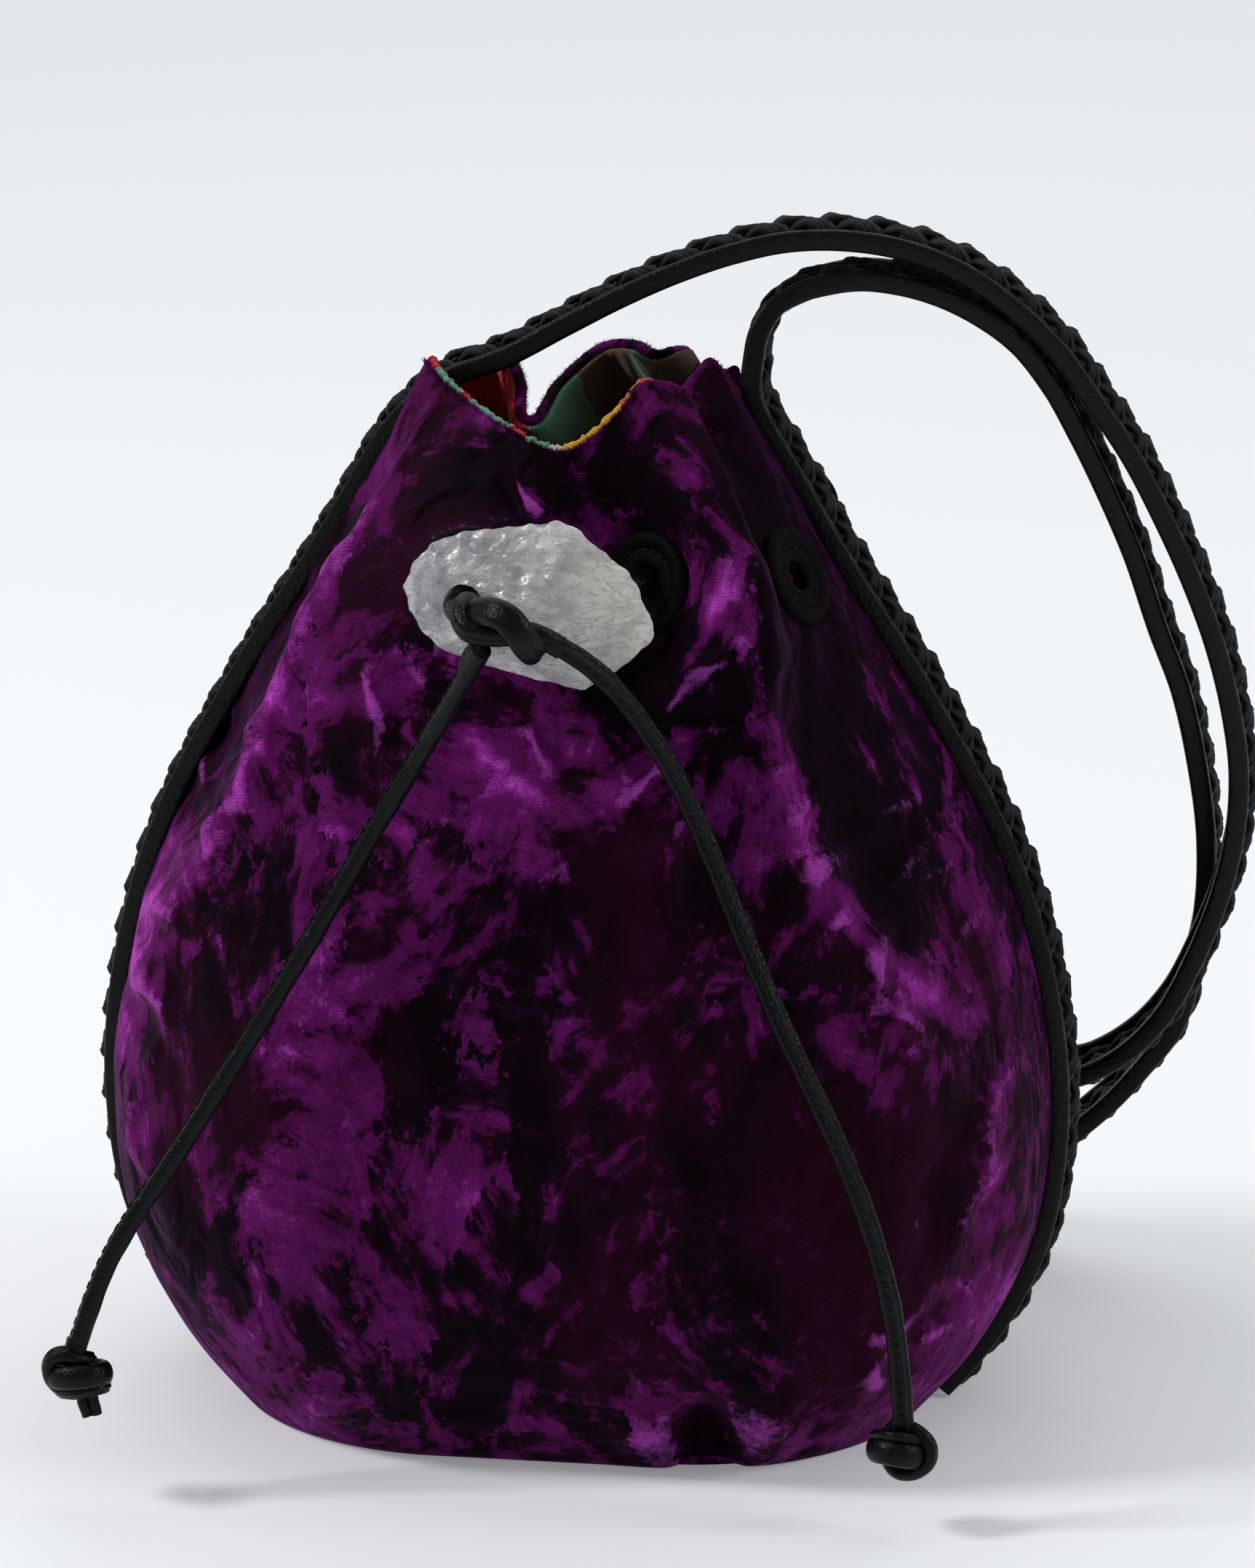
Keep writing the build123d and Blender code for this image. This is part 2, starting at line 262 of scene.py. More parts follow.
def velvet_material():
    """Crushed velvet: the pile lies in ragged patches, near black where it stands away and purple
    where it lies flat, with a painted highlight along the folds' edges and on crease streaks, and
    the knit's fine rows just showing. The panels carry two attributes: lie is how far the pile lies
    over, with painted shade and painted highlights along the folds mixed in, and fold marks the
    ridges that get the painted highlight."""
    m = Maker("crushed_velvet")
    cloth = m.stretched((1, 1, 0.85))
    shards = m.cells(m.pushed(m.stretched((1, 1, 0.7), (0.3, 0.5, 0.2)), 0.020), 46)["Color"]
    shards = m.node("SeparateColor", {"Color": shards}).outputs
    streaks = m.streaks(cloth, m.math("MULTIPLY", shards["Green"], 6.3), 0.20, 125)
    patch = m.total(
        (m.noise(cloth, 26, 8, 0.66, 0.6), 0.80), (m.noise(cloth, 170, 6, 0.7, 0.6), 0.30),
        (streaks, 0.90), (shards["Red"], 0.14),
    )
    patch = m.math("SUBTRACT", m.math("ADD", patch, m.attribute("lie")), 0.560)
    colour = m.ramp(patch, PILE_COLOURS)
    crimson = m.rise(m.noise(m.stretched((1, 1, 0.5)), 18, 4, 0.6), 0.50, 0.64)
    colour = m.mix(m.math("MULTIPLY", crimson, 0.45), colour, CRIMSON)
    # Painted highlights: bright crease streaks from a noise, and the ridges that the fold attribute marks,
    # are mixed towards the bright magenta.
    creases = m.noise(m.stretched((1, 1, 0.5), (0.5, -0.5, 0.3)), 105, 4, 0.62, 1.6)
    creases = m.math("MULTIPLY", m.rise(creases, 0.60, 0.70), m.rise(patch, 0.52, 0.66))
    ridge = m.math("MULTIPLY_ADD", patch, 0.9, m.attribute("fold"))
    ridge = m.math("MULTIPLY_ADD", m.noise(cloth, 330, 4, 0.8), 1.5, ridge)
    ridge = m.rise(m.math("SUBTRACT", ridge, 1.02), 0.50, 0.95)
    lift = m.math("MAXIMUM", m.math("MULTIPLY", creases, 0.45), m.math("MULTIPLY", ridge, 0.42))
    colour = m.mix(lift, colour, PAINTED_HIGHLIGHT)
    rows = m.bands(m.stretched(turn=(0.1, 0.12, 0)), "Z", {
        "Scale": 420, "Distortion": 2.2, "Detail": 3, "Detail Scale": 2,
    })
    grain = m.noise(cloth, 1700, 2, 0.6)
    knit = m.math("MULTIPLY_ADD", rows, 0.32, m.math("MULTIPLY_ADD", grain, 1.1, 0.30))
    crumple = m.noise(m.stretched((1, 1, 0.7), (0.4, 0.2, 0)), 58, 2, 0.45, 0.8)
    normal = m.bump(m.math("MULTIPLY_ADD", streaks, 0.12, crumple), 0.8, 0.007)
    return m.finish({
        "Base Color": m.shaded(colour, knit), "Normal": m.bump(grain, 0.5, 0.0005, normal),
        "Roughness": 0.7, "Specular IOR Level": 0.04, "Sheen Weight": 0.26,
        "Sheen Roughness": 0.28, "Sheen Tint": (0.52, 0.06, 0.52),
    })


# Where each stripe starts across the panel, and its colour.
LINING_STRIPES = [
    (0.00, (0.55, 0.012, 0.015)), (0.062, (0.13, 0.36, 0.22)), (0.118, (0.55, 0.015, 0.012)),
    (0.140, (0.13, 0.36, 0.22)), (0.200, (0.55, 0.015, 0.012)), (0.222, (0.13, 0.36, 0.22)),
    (0.252, (0.60, 0.58, 0.50)), (0.272, (0.75, 0.40, 0.012)), (0.350, (0.62, 0.16, 0.012)),
    (0.375, (0.55, 0.02, 0.012)), (0.46, (0.75, 0.36, 0.01)), (0.50, (0.5, 0.02, 0.02)),
    (0.60, (0.07, 0.15, 0.08)), (0.66, (0.13, 0.085, 0.045)), (0.705, (0.05, 0.12, 0.06)),
    (0.735, (0.12, 0.07, 0.035)), (0.80, (0.10, 0.32, 0.18)), (0.848, (0.50, 0.02, 0.02)),
    (0.862, (1.0, 0.045, 0.04)),
]


def lining_material():
    """Woven stripes with slightly uneven edges and the weave's diagonal threads."""
    m = Maker("striped_lining")
    across = m.node("SeparateXYZ", {"Vector": m.coords["UV"]}).outputs["X"]
    wobble = m.noise(m.stretched(), 260, 3, 0.6)
    across = m.math("MULTIPLY_ADD", wobble, 0.010, m.math("SUBTRACT", across, 0.005))
    threads = m.bands(m.coords["Object"], "DIAGONAL", {"Scale": 520, "Distortion": 0.8, "Detail": 2})
    shade = m.math("MULTIPLY_ADD", threads, 0.45, 0.6)
    return m.finish({
        "Base Color": m.shaded(m.ramp(across, LINING_STRIPES, "CONSTANT"), shade),
        "Normal": m.bump(threads, 0.5, 0.0005),
        "Roughness": 0.9, "Specular IOR Level": 0.1, "Sheen Weight": 0.2,
    })


def leather_material(name, colour, roughness, grain_scale, scuffs, shine):
    """Grained leather: pores, darker clouds, and paler scuffs where it is worn."""
    m = Maker(name)
    vector = m.stretched()
    pores = m.cells(vector, grain_scale)["Distance"]
    cloud = m.noise(vector, 90, 5, 0.6)
    wear = m.rise(m.noise(vector, 420, 6, 0.65), 0.52, 0.75)
    light = tuple(min(c * 2.6 + 0.008, 1) for c in colour)
    dark = tuple(c * 0.45 for c in colour)
    tone = m.mix(m.math("MULTIPLY", wear, scuffs), colour, light)
    return m.finish({
        "Base Color": m.mix(m.math("MULTIPLY", cloud, 0.6), tone, dark),
        "Roughness": m.math("MULTIPLY_ADD", cloud, 0.25, roughness - 0.12),
        "Normal": m.bump(wear, 0.2, 0.0003, m.bump(pores, 0.4, 0.0003)),
        "Specular IOR Level": shine,
    })


def cord_material():
    """Waxed cotton: fine fibres along the strand and a dull sheen."""
    m = Maker("waxed_cord")
    fibre = m.noise(m.stretched(), 1100, 4, 0.7)
    cloud = m.noise(m.stretched(), 120, 3, 0.5)
    tone = m.ramp(fibre, [(0.30, (0.0015, 0.0018, 0.0022)), (0.75, (0.019, 0.021, 0.024))])
    return m.finish({
        "Base Color": m.mix(m.math("MULTIPLY", cloud, 0.5), tone, (0.003, 0.003, 0.0035)),
        "Normal": m.bump(fibre, 0.7, 0.0006),
        "Roughness": 0.6, "Specular IOR Level": 0.18, "Sheen Weight": 0.03,
    })


def thread_material():
    m = Maker("stitch_thread")
    fibre = m.noise(m.stretched(), 2500, 2, 0.5)
    return m.finish({
        "Base Color": m.ramp(fibre, [(0.3, (0.0015, 0.0015, 0.002)), (0.8, (0.010, 0.010, 0.012))]),
        "Normal": m.bump(fibre, 0.5, 0.0003), "Roughness": 0.7, "Specular IOR Level": 0.15,
    })


def quartz_material():
    """Milky quartz: smoky, white and yellowish zones, fractures, painted highlights as white glint specks,
    and rusty specks.
    """
    m = Maker("raw_quartz")
    vector = m.stretched()
    cloud = m.noise(vector, 52, 6, 0.60, 0.4)
    tone = m.ramp(cloud, [
        (0.34, (0.56, 0.56, 0.59)), (0.50, (0.70, 0.695, 0.69)), (0.66, (0.84, 0.83, 0.81)),
    ])
    veil = m.line(m.noise(m.stretched(turn=(0.6, 0.3, 0.9)), 150, 5, 0.7, 2.4), 0.55, 0.60, 0.66)
    tone = m.mix(m.math("MULTIPLY", veil, 0.20), tone, (0.92, 0.91, 0.90))
    warm = m.rise(m.noise(vector, 38, 2, 0.5), 0.52, 0.72)
    tone = m.mix(m.math("MULTIPLY", warm, 0.25), tone, (0.52, 0.45, 0.37))
    across = m.node("SeparateXYZ", {"Vector": m.coords["Object"]}).outputs["X"]
    across = m.total((across, 18), (m.noise(vector, 70, 3, 0.5), 0.5))
    tone = m.mix(0.45, tone, m.ramp(m.math("ADD", across, 0.25), [
        (0.05, (0.46, 0.48, 0.54)), (0.35, (0.80, 0.80, 0.80)),
        (0.65, (0.72, 0.70, 0.68)), (0.95, (0.90, 0.80, 0.66)),
    ]))
    cracks = m.noise(m.stretched((1, 1, 2.4), (0.2, 0.7, 0.4)), 95, 4, 0.6, 1.8)
    cracks = m.line(cracks, 0.47, 0.50, 0.53)
    tone = m.mix(m.math("MULTIPLY", cracks, 0.30), tone, (0.30, 0.30, 0.32))
    # painted highlights: small white glint specks mixed into the colour
    painted_glints = m.rise(m.noise(vector, 640, 3, 0.6), 0.62, 0.68)
    painted_glints = m.math("MULTIPLY", painted_glints, m.rise(m.noise(vector, 120, 2, 0.5), 0.45, 0.65))
    tone = m.mix(painted_glints, tone, WHITE)
    speck = m.math("LESS_THAN", m.cells(m.pushed(vector, 0.004), 98)["Distance"], 0.075)
    facets = m.cells(m.pushed(vector, 0.003), 120)["Distance"]
    normal = m.bump(cracks, 0.5, 0.0006, m.bump(facets, 0.2, 0.0012))
    return m.finish({
        "Base Color": m.mix(m.math("MULTIPLY", speck, 0.75), tone, (0.50, 0.14, 0.04)),
        "Transmission Weight": m.ramp(cloud, [(0.38, (0.55, 0.55, 0.55)), (0.58, (0.15, 0.15, 0.15))]),
        "Roughness": m.math("MULTIPLY_ADD", cracks, -0.2, m.math("MULTIPLY", cloud, 0.50)),
        "Normal": m.bump(m.noise(vector, 420, 5, 0.7, 0.8), 0.35, 0.0007, normal),
        "IOR": 1.544, "Subsurface Weight": 0.18, "Subsurface Scale": 0.006,
        "Subsurface Radius": (1.0, 0.95, 0.9), "Coat Weight": 0.30, "Coat Roughness": 0.08,
    })


# ------------------------------------------------------------------ curves and meshes

def make_mesh(name, points, faces, uvs=None):
    """A mesh object from points in millimetres. uvs gives one pair for each point."""
    mesh = bpy.data.meshes.new(name)
    mesh.from_pydata([tuple(p) for p in np.asarray(points, float) * MM], [], [tuple(f) for f in faces])
    if uvs is not None:
        layer = mesh.uv_layers.new(name="UVMap")
        corner = np.zeros(len(mesh.loops), int)
        mesh.loops.foreach_get("vertex_index", corner)
        layer.data.foreach_set("uv", np.asarray(uvs, float)[corner].ravel())
    mesh.polygons.foreach_set("use_smooth", np.ones(len(mesh.polygons), bool))
    mesh.update()
    piece = bpy.data.objects.new(name, mesh)
    bpy.context.scene.collection.objects.link(piece)
    return piece


def finish_piece(piece, material, slot, body, *nodes):
    piece.data.materials.append(material)
    if body:
        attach(piece, body)
    if nodes:
        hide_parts(*nodes)
    return piece


def cubic(values, places, wanted, flat_start=False):
    """Values of a smooth curve through the given ones, by cubic pieces in each column."""
    values = np.asarray(values, float)
    places = np.asarray(places, float)
    slopes = np.gradient(values, places, axis=0)
    if flat_start:
        slopes[0] = 0
    wanted = np.clip(wanted, places[0], places[-1])
    index = np.clip(np.searchsorted(places, wanted, side="right") - 1, 0, len(places) - 2)
    step = (places[index + 1] - places[index])
    t = (wanted - places[index]) / step
    shape = (slice(None),) + (None,) * (values.ndim - 1)
    t, step = t[shape], step[shape]
    h00 = 2 * t**3 - 3 * t**2 + 1
    h10 = t**3 - 2 * t**2 + t
    h01 = -2 * t**3 + 3 * t**2
    h11 = t**3 - t**2
    return (h00 * values[index] + h10 * step * slopes[index]
            + h01 * values[index + 1] + h11 * step * slopes[index + 1])


def lengths(points):
    """How far along a line of points each one lies."""
    return np.r_[0, np.cumsum(np.linalg.norm(np.diff(points, axis=0), axis=1))]


def even(points, spacing):
    """The same line with evenly spaced points."""
    along = lengths(points)
    wanted = np.linspace(0, along[-1], max(int(along[-1] / spacing), 2) + 1)
    return np.stack([np.interp(wanted, along, points[:, k]) for k in range(3)], 1)


def smooth_path(points, spacing):
    """Evenly spaced points on a smooth curve through the given ones."""
    points = np.asarray(points, float)
    runs = lengths(points)
    return even(cubic(points, runs, np.linspace(0, runs[-1], 1600)), spacing)


def tangents(path):
    return unit(np.gradient(path, axis=0))


def squared(vectors, along):
    """Unit vectors square to the given directions, as near as they can be to the first ones."""
    return unit(vectors - along * np.sum(vectors * along, -1, keepdims=True))


def carried_normals(path, first):
    """Normals that turn as little as possible along a path."""
    normals = np.zeros_like(path)
    now = np.asarray(first, float)
    for i, along in enumerate(tangents(path)):
        now = normals[i] = squared(now, along)
    return normals


def ring_faces(rings, sides, closed=False, flip=False):
    """Quads between neighbouring rings of points. Closed joins the last ring to the first."""
    faces = []
    for i in range(rings if closed else rings - 1):
        here, after = i * sides, (i + 1) % rings * sides
        for j in range(sides):
            k = (j + 1) % sides
            face = (here + j, here + k, after + k, after + j)
            faces.append(face[:1] + face[:0:-1] if flip else face)
    return faces


def sweep(path, normals, outline, closed_ends=True):
    """Points and faces of an outline (pairs along the normal and across it) carried on a path.
    The outline is one for the whole path, or one for each of its points."""
    outline = np.asarray(outline, float)
    if outline.ndim == 2:
        outline = np.repeat(outline[None], len(path), 0)
    across = np.cross(tangents(path), normals)
    rings = path[:, None] + outline[..., :1] * normals[:, None] + outline[..., 1:] * across[:, None]
    count, sides = outline.shape[:2]
    points, faces = rings.reshape(-1, 3), ring_faces(count, sides)
    if closed_ends:
        # the ends have points of their own, so that the shading breaks there and not before
        last = count * sides
        points = np.concatenate([points, rings[0], rings[-1]])
        faces.append(tuple(range(last + sides - 1, last - 1, -1)))
        faces.append(tuple(range(last + sides, last + 2 * sides)))
    return points, faces


def turns(count):
    """Evenly spaced angles round a full turn."""
    return np.linspace(0, 2 * math.pi, count, endpoint=False)


def circle(radius, sides):
    return np.stack([np.cos(turns(sides)), np.sin(turns(sides))], 1) * radius


def rounded_box(width, height, radius, steps):
    """A rectangle with round corners, as pairs."""
    outline = []
    corners = ((1, 1, 0), (-1, 1, 90), (-1, -1, 180), (1, -1, 270))
    for side_x, side_y, start in corners:
        for step in range(steps + 1):
            angle = math.radians(start + 90 * step / steps)
            x = side_x * (width / 2 - radius) + radius * math.cos(angle)
            y = side_y * (height / 2 - radius) + radius * math.sin(angle)
            outline.append((x, y))
    return outline


class Parts:
    """Several shapes gathered into one mesh."""

    def __init__(self):
        self.points, self.faces, self.count = [], [], 0

    def add(self, points, faces):
        self.points.append(points)
        self.faces += [tuple(i + self.count for i in face) for face in faces]
        self.count += len(points)

    def make(self, name):
        return make_mesh(name, np.concatenate(self.points), self.faces)


# ------------------------------------------------------------------ the pouch's cloth

# Height, half width, half depth and corner radius of the pouch at each level, as in its structure.
LEVELS = np.array([
    (0, 80, 62, 54), (12, 90, 70, 62), (34, 102, 79, 70), (64, 107.5, 82.5, 74),
    (96, 105, 81, 72), (130, 95, 74, 64), (165, 76.5, 61.5, 52), (200, 54.5, 49, 34),
    (219, 43.5, 42.5, 27), (235, 33, 37, 20),
], float)
TOP = 235.0
GUSSET = 10.0                   # half of the side band's width

# The gathered cloth in plan, at three heights: the front from the left band round to the right
# band, then the back from the right band to the left one. Between them the folds run smoothly, and
# at the lowest of HEIGHTS_OF_PLANS the pouch is a plain round.
FRONT_LOW = [
    (-76.5, -10), (-73.5, -21), (-69.5, -33), (-66, -46.5), (-56.5, -52.5), (-43, -58.5), (-26, -62.5),
    (-9, -63), (6, -61), (19, -60), (32, -64), (44, -67), (51, -65), (54.5, -54), (61.5, -46),
    (71.5, -29), (76.5, -10),
]
FRONT_NECK = [
    (-51.5, -10), (-47.5, -18), (-45, -27), (-48, -38), (-41, -45.5), (-30, -51), (-18, -54.5),
    (-7, -53.5), (4, -45), (14, -40), (24, -46), (36, -54.5), (45, -54), (45.5, -46),
    (43, -39), (50.5, -23.5), (51.5, -10),
]
FRONT_LIP = [
    (-33.3, -8), (-34, -13), (-31, -18), (-27, -22.5), (-22.5, -27), (-17, -31.5), (-11.5, -35.5),
    (-5, -39.5), (1, -41.5), (7, -41.5), (12.5, -39), (18.5, -34), (27, -27), (24.5, -20),
    (26.5, -16), (30.5, -13.5), (33.3, -8),
]
LIP_HEIGHT = [
    237, 240, 238, 236, 234, 231.5, 229.5, 227, 226, 229, 234, 240.5, 237.5, 235, 238.5, 242, 237,
]
BACK_LOW = [
    (76.5, 10), (74, 27), (67.5, 42), (54, 54.5), (37, 62), (19, 64), (3, 63.5), (-10, 60), (-23, 60),
    (-40, 60.5), (-56, 53.5), (-69.5, 38), (-76.5, 10),
]
BACK_NECK = [
    (51.5, 10), (51.5, 23), (48.5, 34), (40, 43.5), (26, 49), (15, 48), (6, 52), (-4, 46), (-13, 37),
    (-22, 44.5), (-35, 48), (-47, 37), (-51.5, 10),
]
BACK_LIP = [
    (33.3, 8), (30, 15), (25, 20), (19.5, 25), (14.5, 14), (8, 22), (-1, 26), (-9, 12), (-12, -3),
    (-14.5, 6), (-19.5, 14), (-27, 15), (-33.3, 8),
]
BACK_LIP_HEIGHT = [236, 234, 233, 236, 238.5, 239, 237, 231, 226.5, 232, 237.5, 238, 237]
HEIGHTS_OF_PLANS = (60.0, 112.0, 165.0, 205.0, 235.0)
EARLY_FOLD = 0.30               # how much of the lowest folded plan shows at the second height
LIP_RISE = (196, 235)           # between these heights the rim comes up to its own height
EDGE_OUT, EDGE_IN = 0.3, 1.5    # how the panel's edge lies in the band's strip
EDGE_REACH = 0.055              # how far round the panel its edge pulls, as a share of its width
FOLD_LIMIT = 12                 # how far past the middle plane a deep fold may reach
LIE_RANGE = (-0.36, 0.26)
RIDGE_HEIGHT = 0.9              # of a ridge that counts as a full one
# The wrinkles' length, height and number, from the large to the small.
WRINKLES = ((46, 0.85, 9), (24, 0.42, 12), (12, 0.16, 14))


def half_sizes(z):
    return cubic(LEVELS[:, 1:3], LEVELS[:, 0], np.atleast_1d(z))


def round_plan(turn, levels, side):
    """The plain round at each level as shares of its half width and half depth: a rectangle with
    very round corners, met by a ray from the middle at each turn."""
    sizes = cubic(LEVELS[:, 1:], LEVELS[:, 0], levels)
    half, corner = sizes[:, None, :2], sizes[:, None, 2]
    ray = np.stack([side * np.cos(turn), side * np.sin(turn)], 1)[None]
    low = np.full((len(levels), len(turn)), 0.5)
    high = np.full_like(low, 1.5)
    for _ in range(30):
        middle = (low + high) / 2
        outside = np.abs(ray * middle[..., None] * half) - (half - corner[..., None])
        past = np.linalg.norm(np.maximum(outside, 0), axis=-1)
        past = past + np.minimum(outside.max(-1), 0) - corner
        high = np.where(past > 0, middle, high)
        low = np.where(past > 0, low, middle)
    return ray * low[..., None]


def wrinkles(x, y, z, seed):
    """Small uneven creases, in millimetres: sums of turned waves whose strength comes and goes."""
    draw = np.random.default_rng(seed)
    total = np.zeros_like(x)
    for size, height, count in WRINKLES:
        for _ in range(count):
            direction = unit(draw.normal(size=3) * (1.25, 1.25, 0.62))
            phase, gate = draw.uniform(0, 2 * math.pi, 2)
            length = size * draw.uniform(0.7, 1.5)
            wave = (x * direction[0] + y * direction[1] + z * direction[2]) * 2 * math.pi / length
            other = unit(draw.normal(size=3))
            where = (x * other[0] + y * other[1] + z * other[2]) / (length * 1.7) + gate
            ridge = 1 - np.abs(np.sin(wave / 2 + phase)) * 2
            total += height / math.sqrt(count) * ridge * np.maximum(np.sin(where), 0) ** 1.5
    return total


class Cloth:
    """One panel of the pouch as a grid of points: columns from band to band, rows from the base up."""

    def __init__(self, side, columns, rows):
        self.side = side
        low, neck, lip, lip_height = (
            (FRONT_LOW, FRONT_NECK, FRONT_LIP, LIP_HEIGHT) if side < 0
            else (BACK_LOW, BACK_NECK, BACK_LIP, BACK_LIP_HEIGHT)
        )
        stations = np.linspace(0, 1, len(low))
        self.u = np.linspace(0, 1, columns)
        self.levels = TOP * np.linspace(0, 1, rows) ** 0.94
        plans = []
        for plan, z in zip((low, neck, lip), HEIGHTS_OF_PLANS[2:]):
            shares = np.array(plan, float) / half_sizes(z)
            plans.append(cubic(shares, stations, self.u))
        plans = np.stack(plans)                                     # plan, column, xy
        weights = self.plan_weights(self.levels)
        shares = np.einsum("rp,pcx->rcx", weights[:, 1:], plans)
        shares = shares + weights[:, :1, None] * round_plan(self.u * math.pi, self.levels, side)
        sizes = half_sizes(self.levels)
        self.xy = shares * sizes[:, None, :]
        lift = cubic(np.array(lip_height, float) - TOP, stations, self.u)
        rise = smoothstep(*LIP_RISE, self.levels)
        self.z = self.levels[:, None] + rise[:, None] * lift[None]
        self.keep_to_bands()
        self.points = np.dstack([self.xy, self.z])

    @staticmethod
    def plan_weights(levels):
        """How much of each plan a level takes: smooth between neighbours."""
        steps = [(1, 0, 0, 0), (1 - EARLY_FOLD, EARLY_FOLD, 0, 0), (0, 1, 0, 0), (0, 0, 1, 0), (0, 0, 0, 1)]
        return cubic(steps, HEIGHTS_OF_PLANS, levels, flat_start=True)

    def keep_to_bands(self):
        """The panel's two edges lie in the side bands' leather strips."""
        sizes = half_sizes(self.levels)
        for column, sign in ((0, -1), (-1, 1)):
            if self.side > 0:
                sign = -sign
            y = np.full(len(sizes), self.side * (GUSSET - EDGE_IN))
            edge = np.stack([sign * (sizes[:, 0] + EDGE_OUT), y], 1)
            shift = edge - self.xy[:, column]
            distance = np.abs(self.u - self.u[column])
            fade = np.exp(-(distance / EDGE_REACH) ** 2)
            self.xy += shift[:, None, :] * fade[None, :, None]
        self.xy[:, :, 1] = self.side * np.maximum(self.side * self.xy[:, :, 1], -FOLD_LIMIT)

    def normals(self):
        down, along = (np.gradient(self.points, axis=axis) for axis in (0, 1))
        return unit(np.cross(along, down))

    def push(self, amount):
        self.points = self.points + self.normals() * amount[..., None]

    def nearest(self, place):
        """The row and column of the point nearest to a place."""
        gap = np.linalg.norm(self.points - np.asarray(place, float), axis=-1)
        return np.unravel_index(np.argmin(gap), gap.shape)

    def pile(self, spots, strokes):
        """How far the pile lies over, with painted shade and highlights along the folds, and where the
        ridges are, for the velvet's colours and painted highlights.
        """
        x, z = self.points[..., 0], self.points[..., 2]
        lie = np.zeros_like(x)
        for at_x, at_z, width, height, amount in spots:
            near = ((x - at_x) / width) ** 2 + ((z - at_z) / height) ** 2
            lie += amount * np.exp(-near)
        for width, amount, *route in strokes:
            away = np.full_like(x, 1e6)
            for start, end in zip(route, route[1:]):
                run = np.subtract(end, start)
                t = np.clip(((x - start[0]) * run[0] + (z - start[1]) * run[1]) / (run @ run), 0, 1)
                away = np.minimum(away, np.hypot(x - start[0] - t * run[0], z - start[1] - t * run[1]))
            lie += amount * np.exp(-(away / width) ** 2)
        flat = blurred(self.points, 4)
        fold = np.sum((self.points - flat) * self.normals(), -1) / RIDGE_HEIGHT
        return np.clip(lie, *LIE_RANGE), np.clip(fold, -1, 1)


def blurred(points, reach, axes=(0, 1)):
    """The points averaged over their neighbours along the given axes of their grid."""
    share = np.ones(2 * reach + 1) / (2 * reach + 1)
    for axis in axes:
        ends = [(0, 0)] * points.ndim
        ends[axis] = (reach, reach)
        points = np.apply_along_axis(np.convolve, axis, np.pad(points, ends, "edge"), share, "valid")
    return points


def dent(cloth, x, z, width, height, depth):
    """A soft hollow (or, with a negative depth, a swelling) at a place on the panel."""
    near = ((cloth.points[..., 0] - x) / width) ** 2 + ((cloth.points[..., 2] - z) / height) ** 2
    cloth.push(-depth * np.exp(-near))


def crease(cloth, start, end, width, depth):
    """An uneven hollow or, with a negative depth, a ridge between two places (x, z)."""
    start, end = np.array(start, float), np.array(end, float)
    run = end - start
    length = np.linalg.norm(run)
    square = np.array([-run[1], run[0]]) / length
    flat = cloth.points[..., [0, 2]] - start
    t = np.clip(flat @ run / (run @ run), 0, 1)
    phase = start[0] + 2 * end[1]
    bend = 0.045 * length * np.sin(t * math.pi + 0.4 * np.sin(phase)) * math.sin(phase)
    bend = bend + width * 0.35 * np.sin(t * length / 3.3 + phase)
    away = flat - t[..., None] * run - bend[..., None] * square
    away = np.linalg.norm(away, axis=-1)
    wide = width * (1 + 0.35 * np.sin(t * length / 2.1 + 2 * phase))
    taper = np.sin(np.clip(t, 0.04, 0.96) * math.pi) ** 0.7
    cloth.push(-depth * taper * np.exp(-(away / wide) ** 2))


# Where the pile lies over (above nought) or stands away (below), mixed with painted light: some
# spots and most strokes are painted shade (below nought) in the hollows and pockets beside the
# folds and painted highlights (above nought) along the ridges' lit edges. Spots: the middle in the
# XZ plane, the half width and half height, and how much. Strokes: the half width, how much, and the route.
FRONT_SPOTS = [
    (4, 220, 28, 10, -0.17), (30, 212, 12, 10, -0.10), (-28, 214, 8, 14, -0.16), (56, 222, 10, 14, -0.08),
    # (26, 184) is painted shade in the pocket between the stone and the right ridge.
    (-36, 218, 7, 18, 0.04), (-6, 219, 3, 8, 0.16), (26, 184, 10, 12, -0.20), (-20, 178, 20, 8, -0.02),
    (-36, 176, 5, 9, 0.10), (-10, 160, 10, 6, 0.10), (23, 163, 8, 8, 0.16), (-44, 163, 12, 7, -0.08),
    (20, 136, 24, 10, -0.07), (40, 152, 8, 12, 0.04), (49, 144, 5, 9, 0.12),
    (-19, 128, 14, 18, 0.09), (-44, 126, 8, 14, -0.02), (-62, 118, 12, 12, -0.06),
    (-70, 84, 16, 12, -0.10), (-48, 94, 10, 9, -0.06), (-44, 80, 5, 24, 0.05), (-26, 84, 9, 16, 0.03),
    (-34, 60, 8, 14, -0.07), (-80, 52, 18, 12, -0.15), (-14, 58, 14, 14, 0.04),
    (-28, 30, 20, 18, 0.05), (-93, 66, 5, 12, 0.14), (-60, 24, 8, 8, 0.03), (-66, 40, 10, 8, -0.08),
    (4, 92, 14, 18, -0.06), (30, 106, 20, 16, -0.08), (38, 70, 32, 28, -0.11),
    (78, 66, 24, 30, -0.22), (34, 28, 24, 16, -0.10), (62, 98, 14, 14, -0.15), (58, 20, 16, 14, -0.10),
    (97, 62, 4, 22, 0.12), (104, 108, 4, 16, 0.10), (74, 152, 14, 16, -0.10), (88, 132, 12, 10, -0.08),
    (62, 118, 12, 10, -0.06), (93, 34, 9, 14, 0.16), (76, 14, 10, 8, 0.08), (0, 14, 14, 8, -0.02),
    (36, 8, 12, 10, -0.16), (-86, 92, 12, 14, -0.03), (-99, 100, 7, 18, 0.15),
]
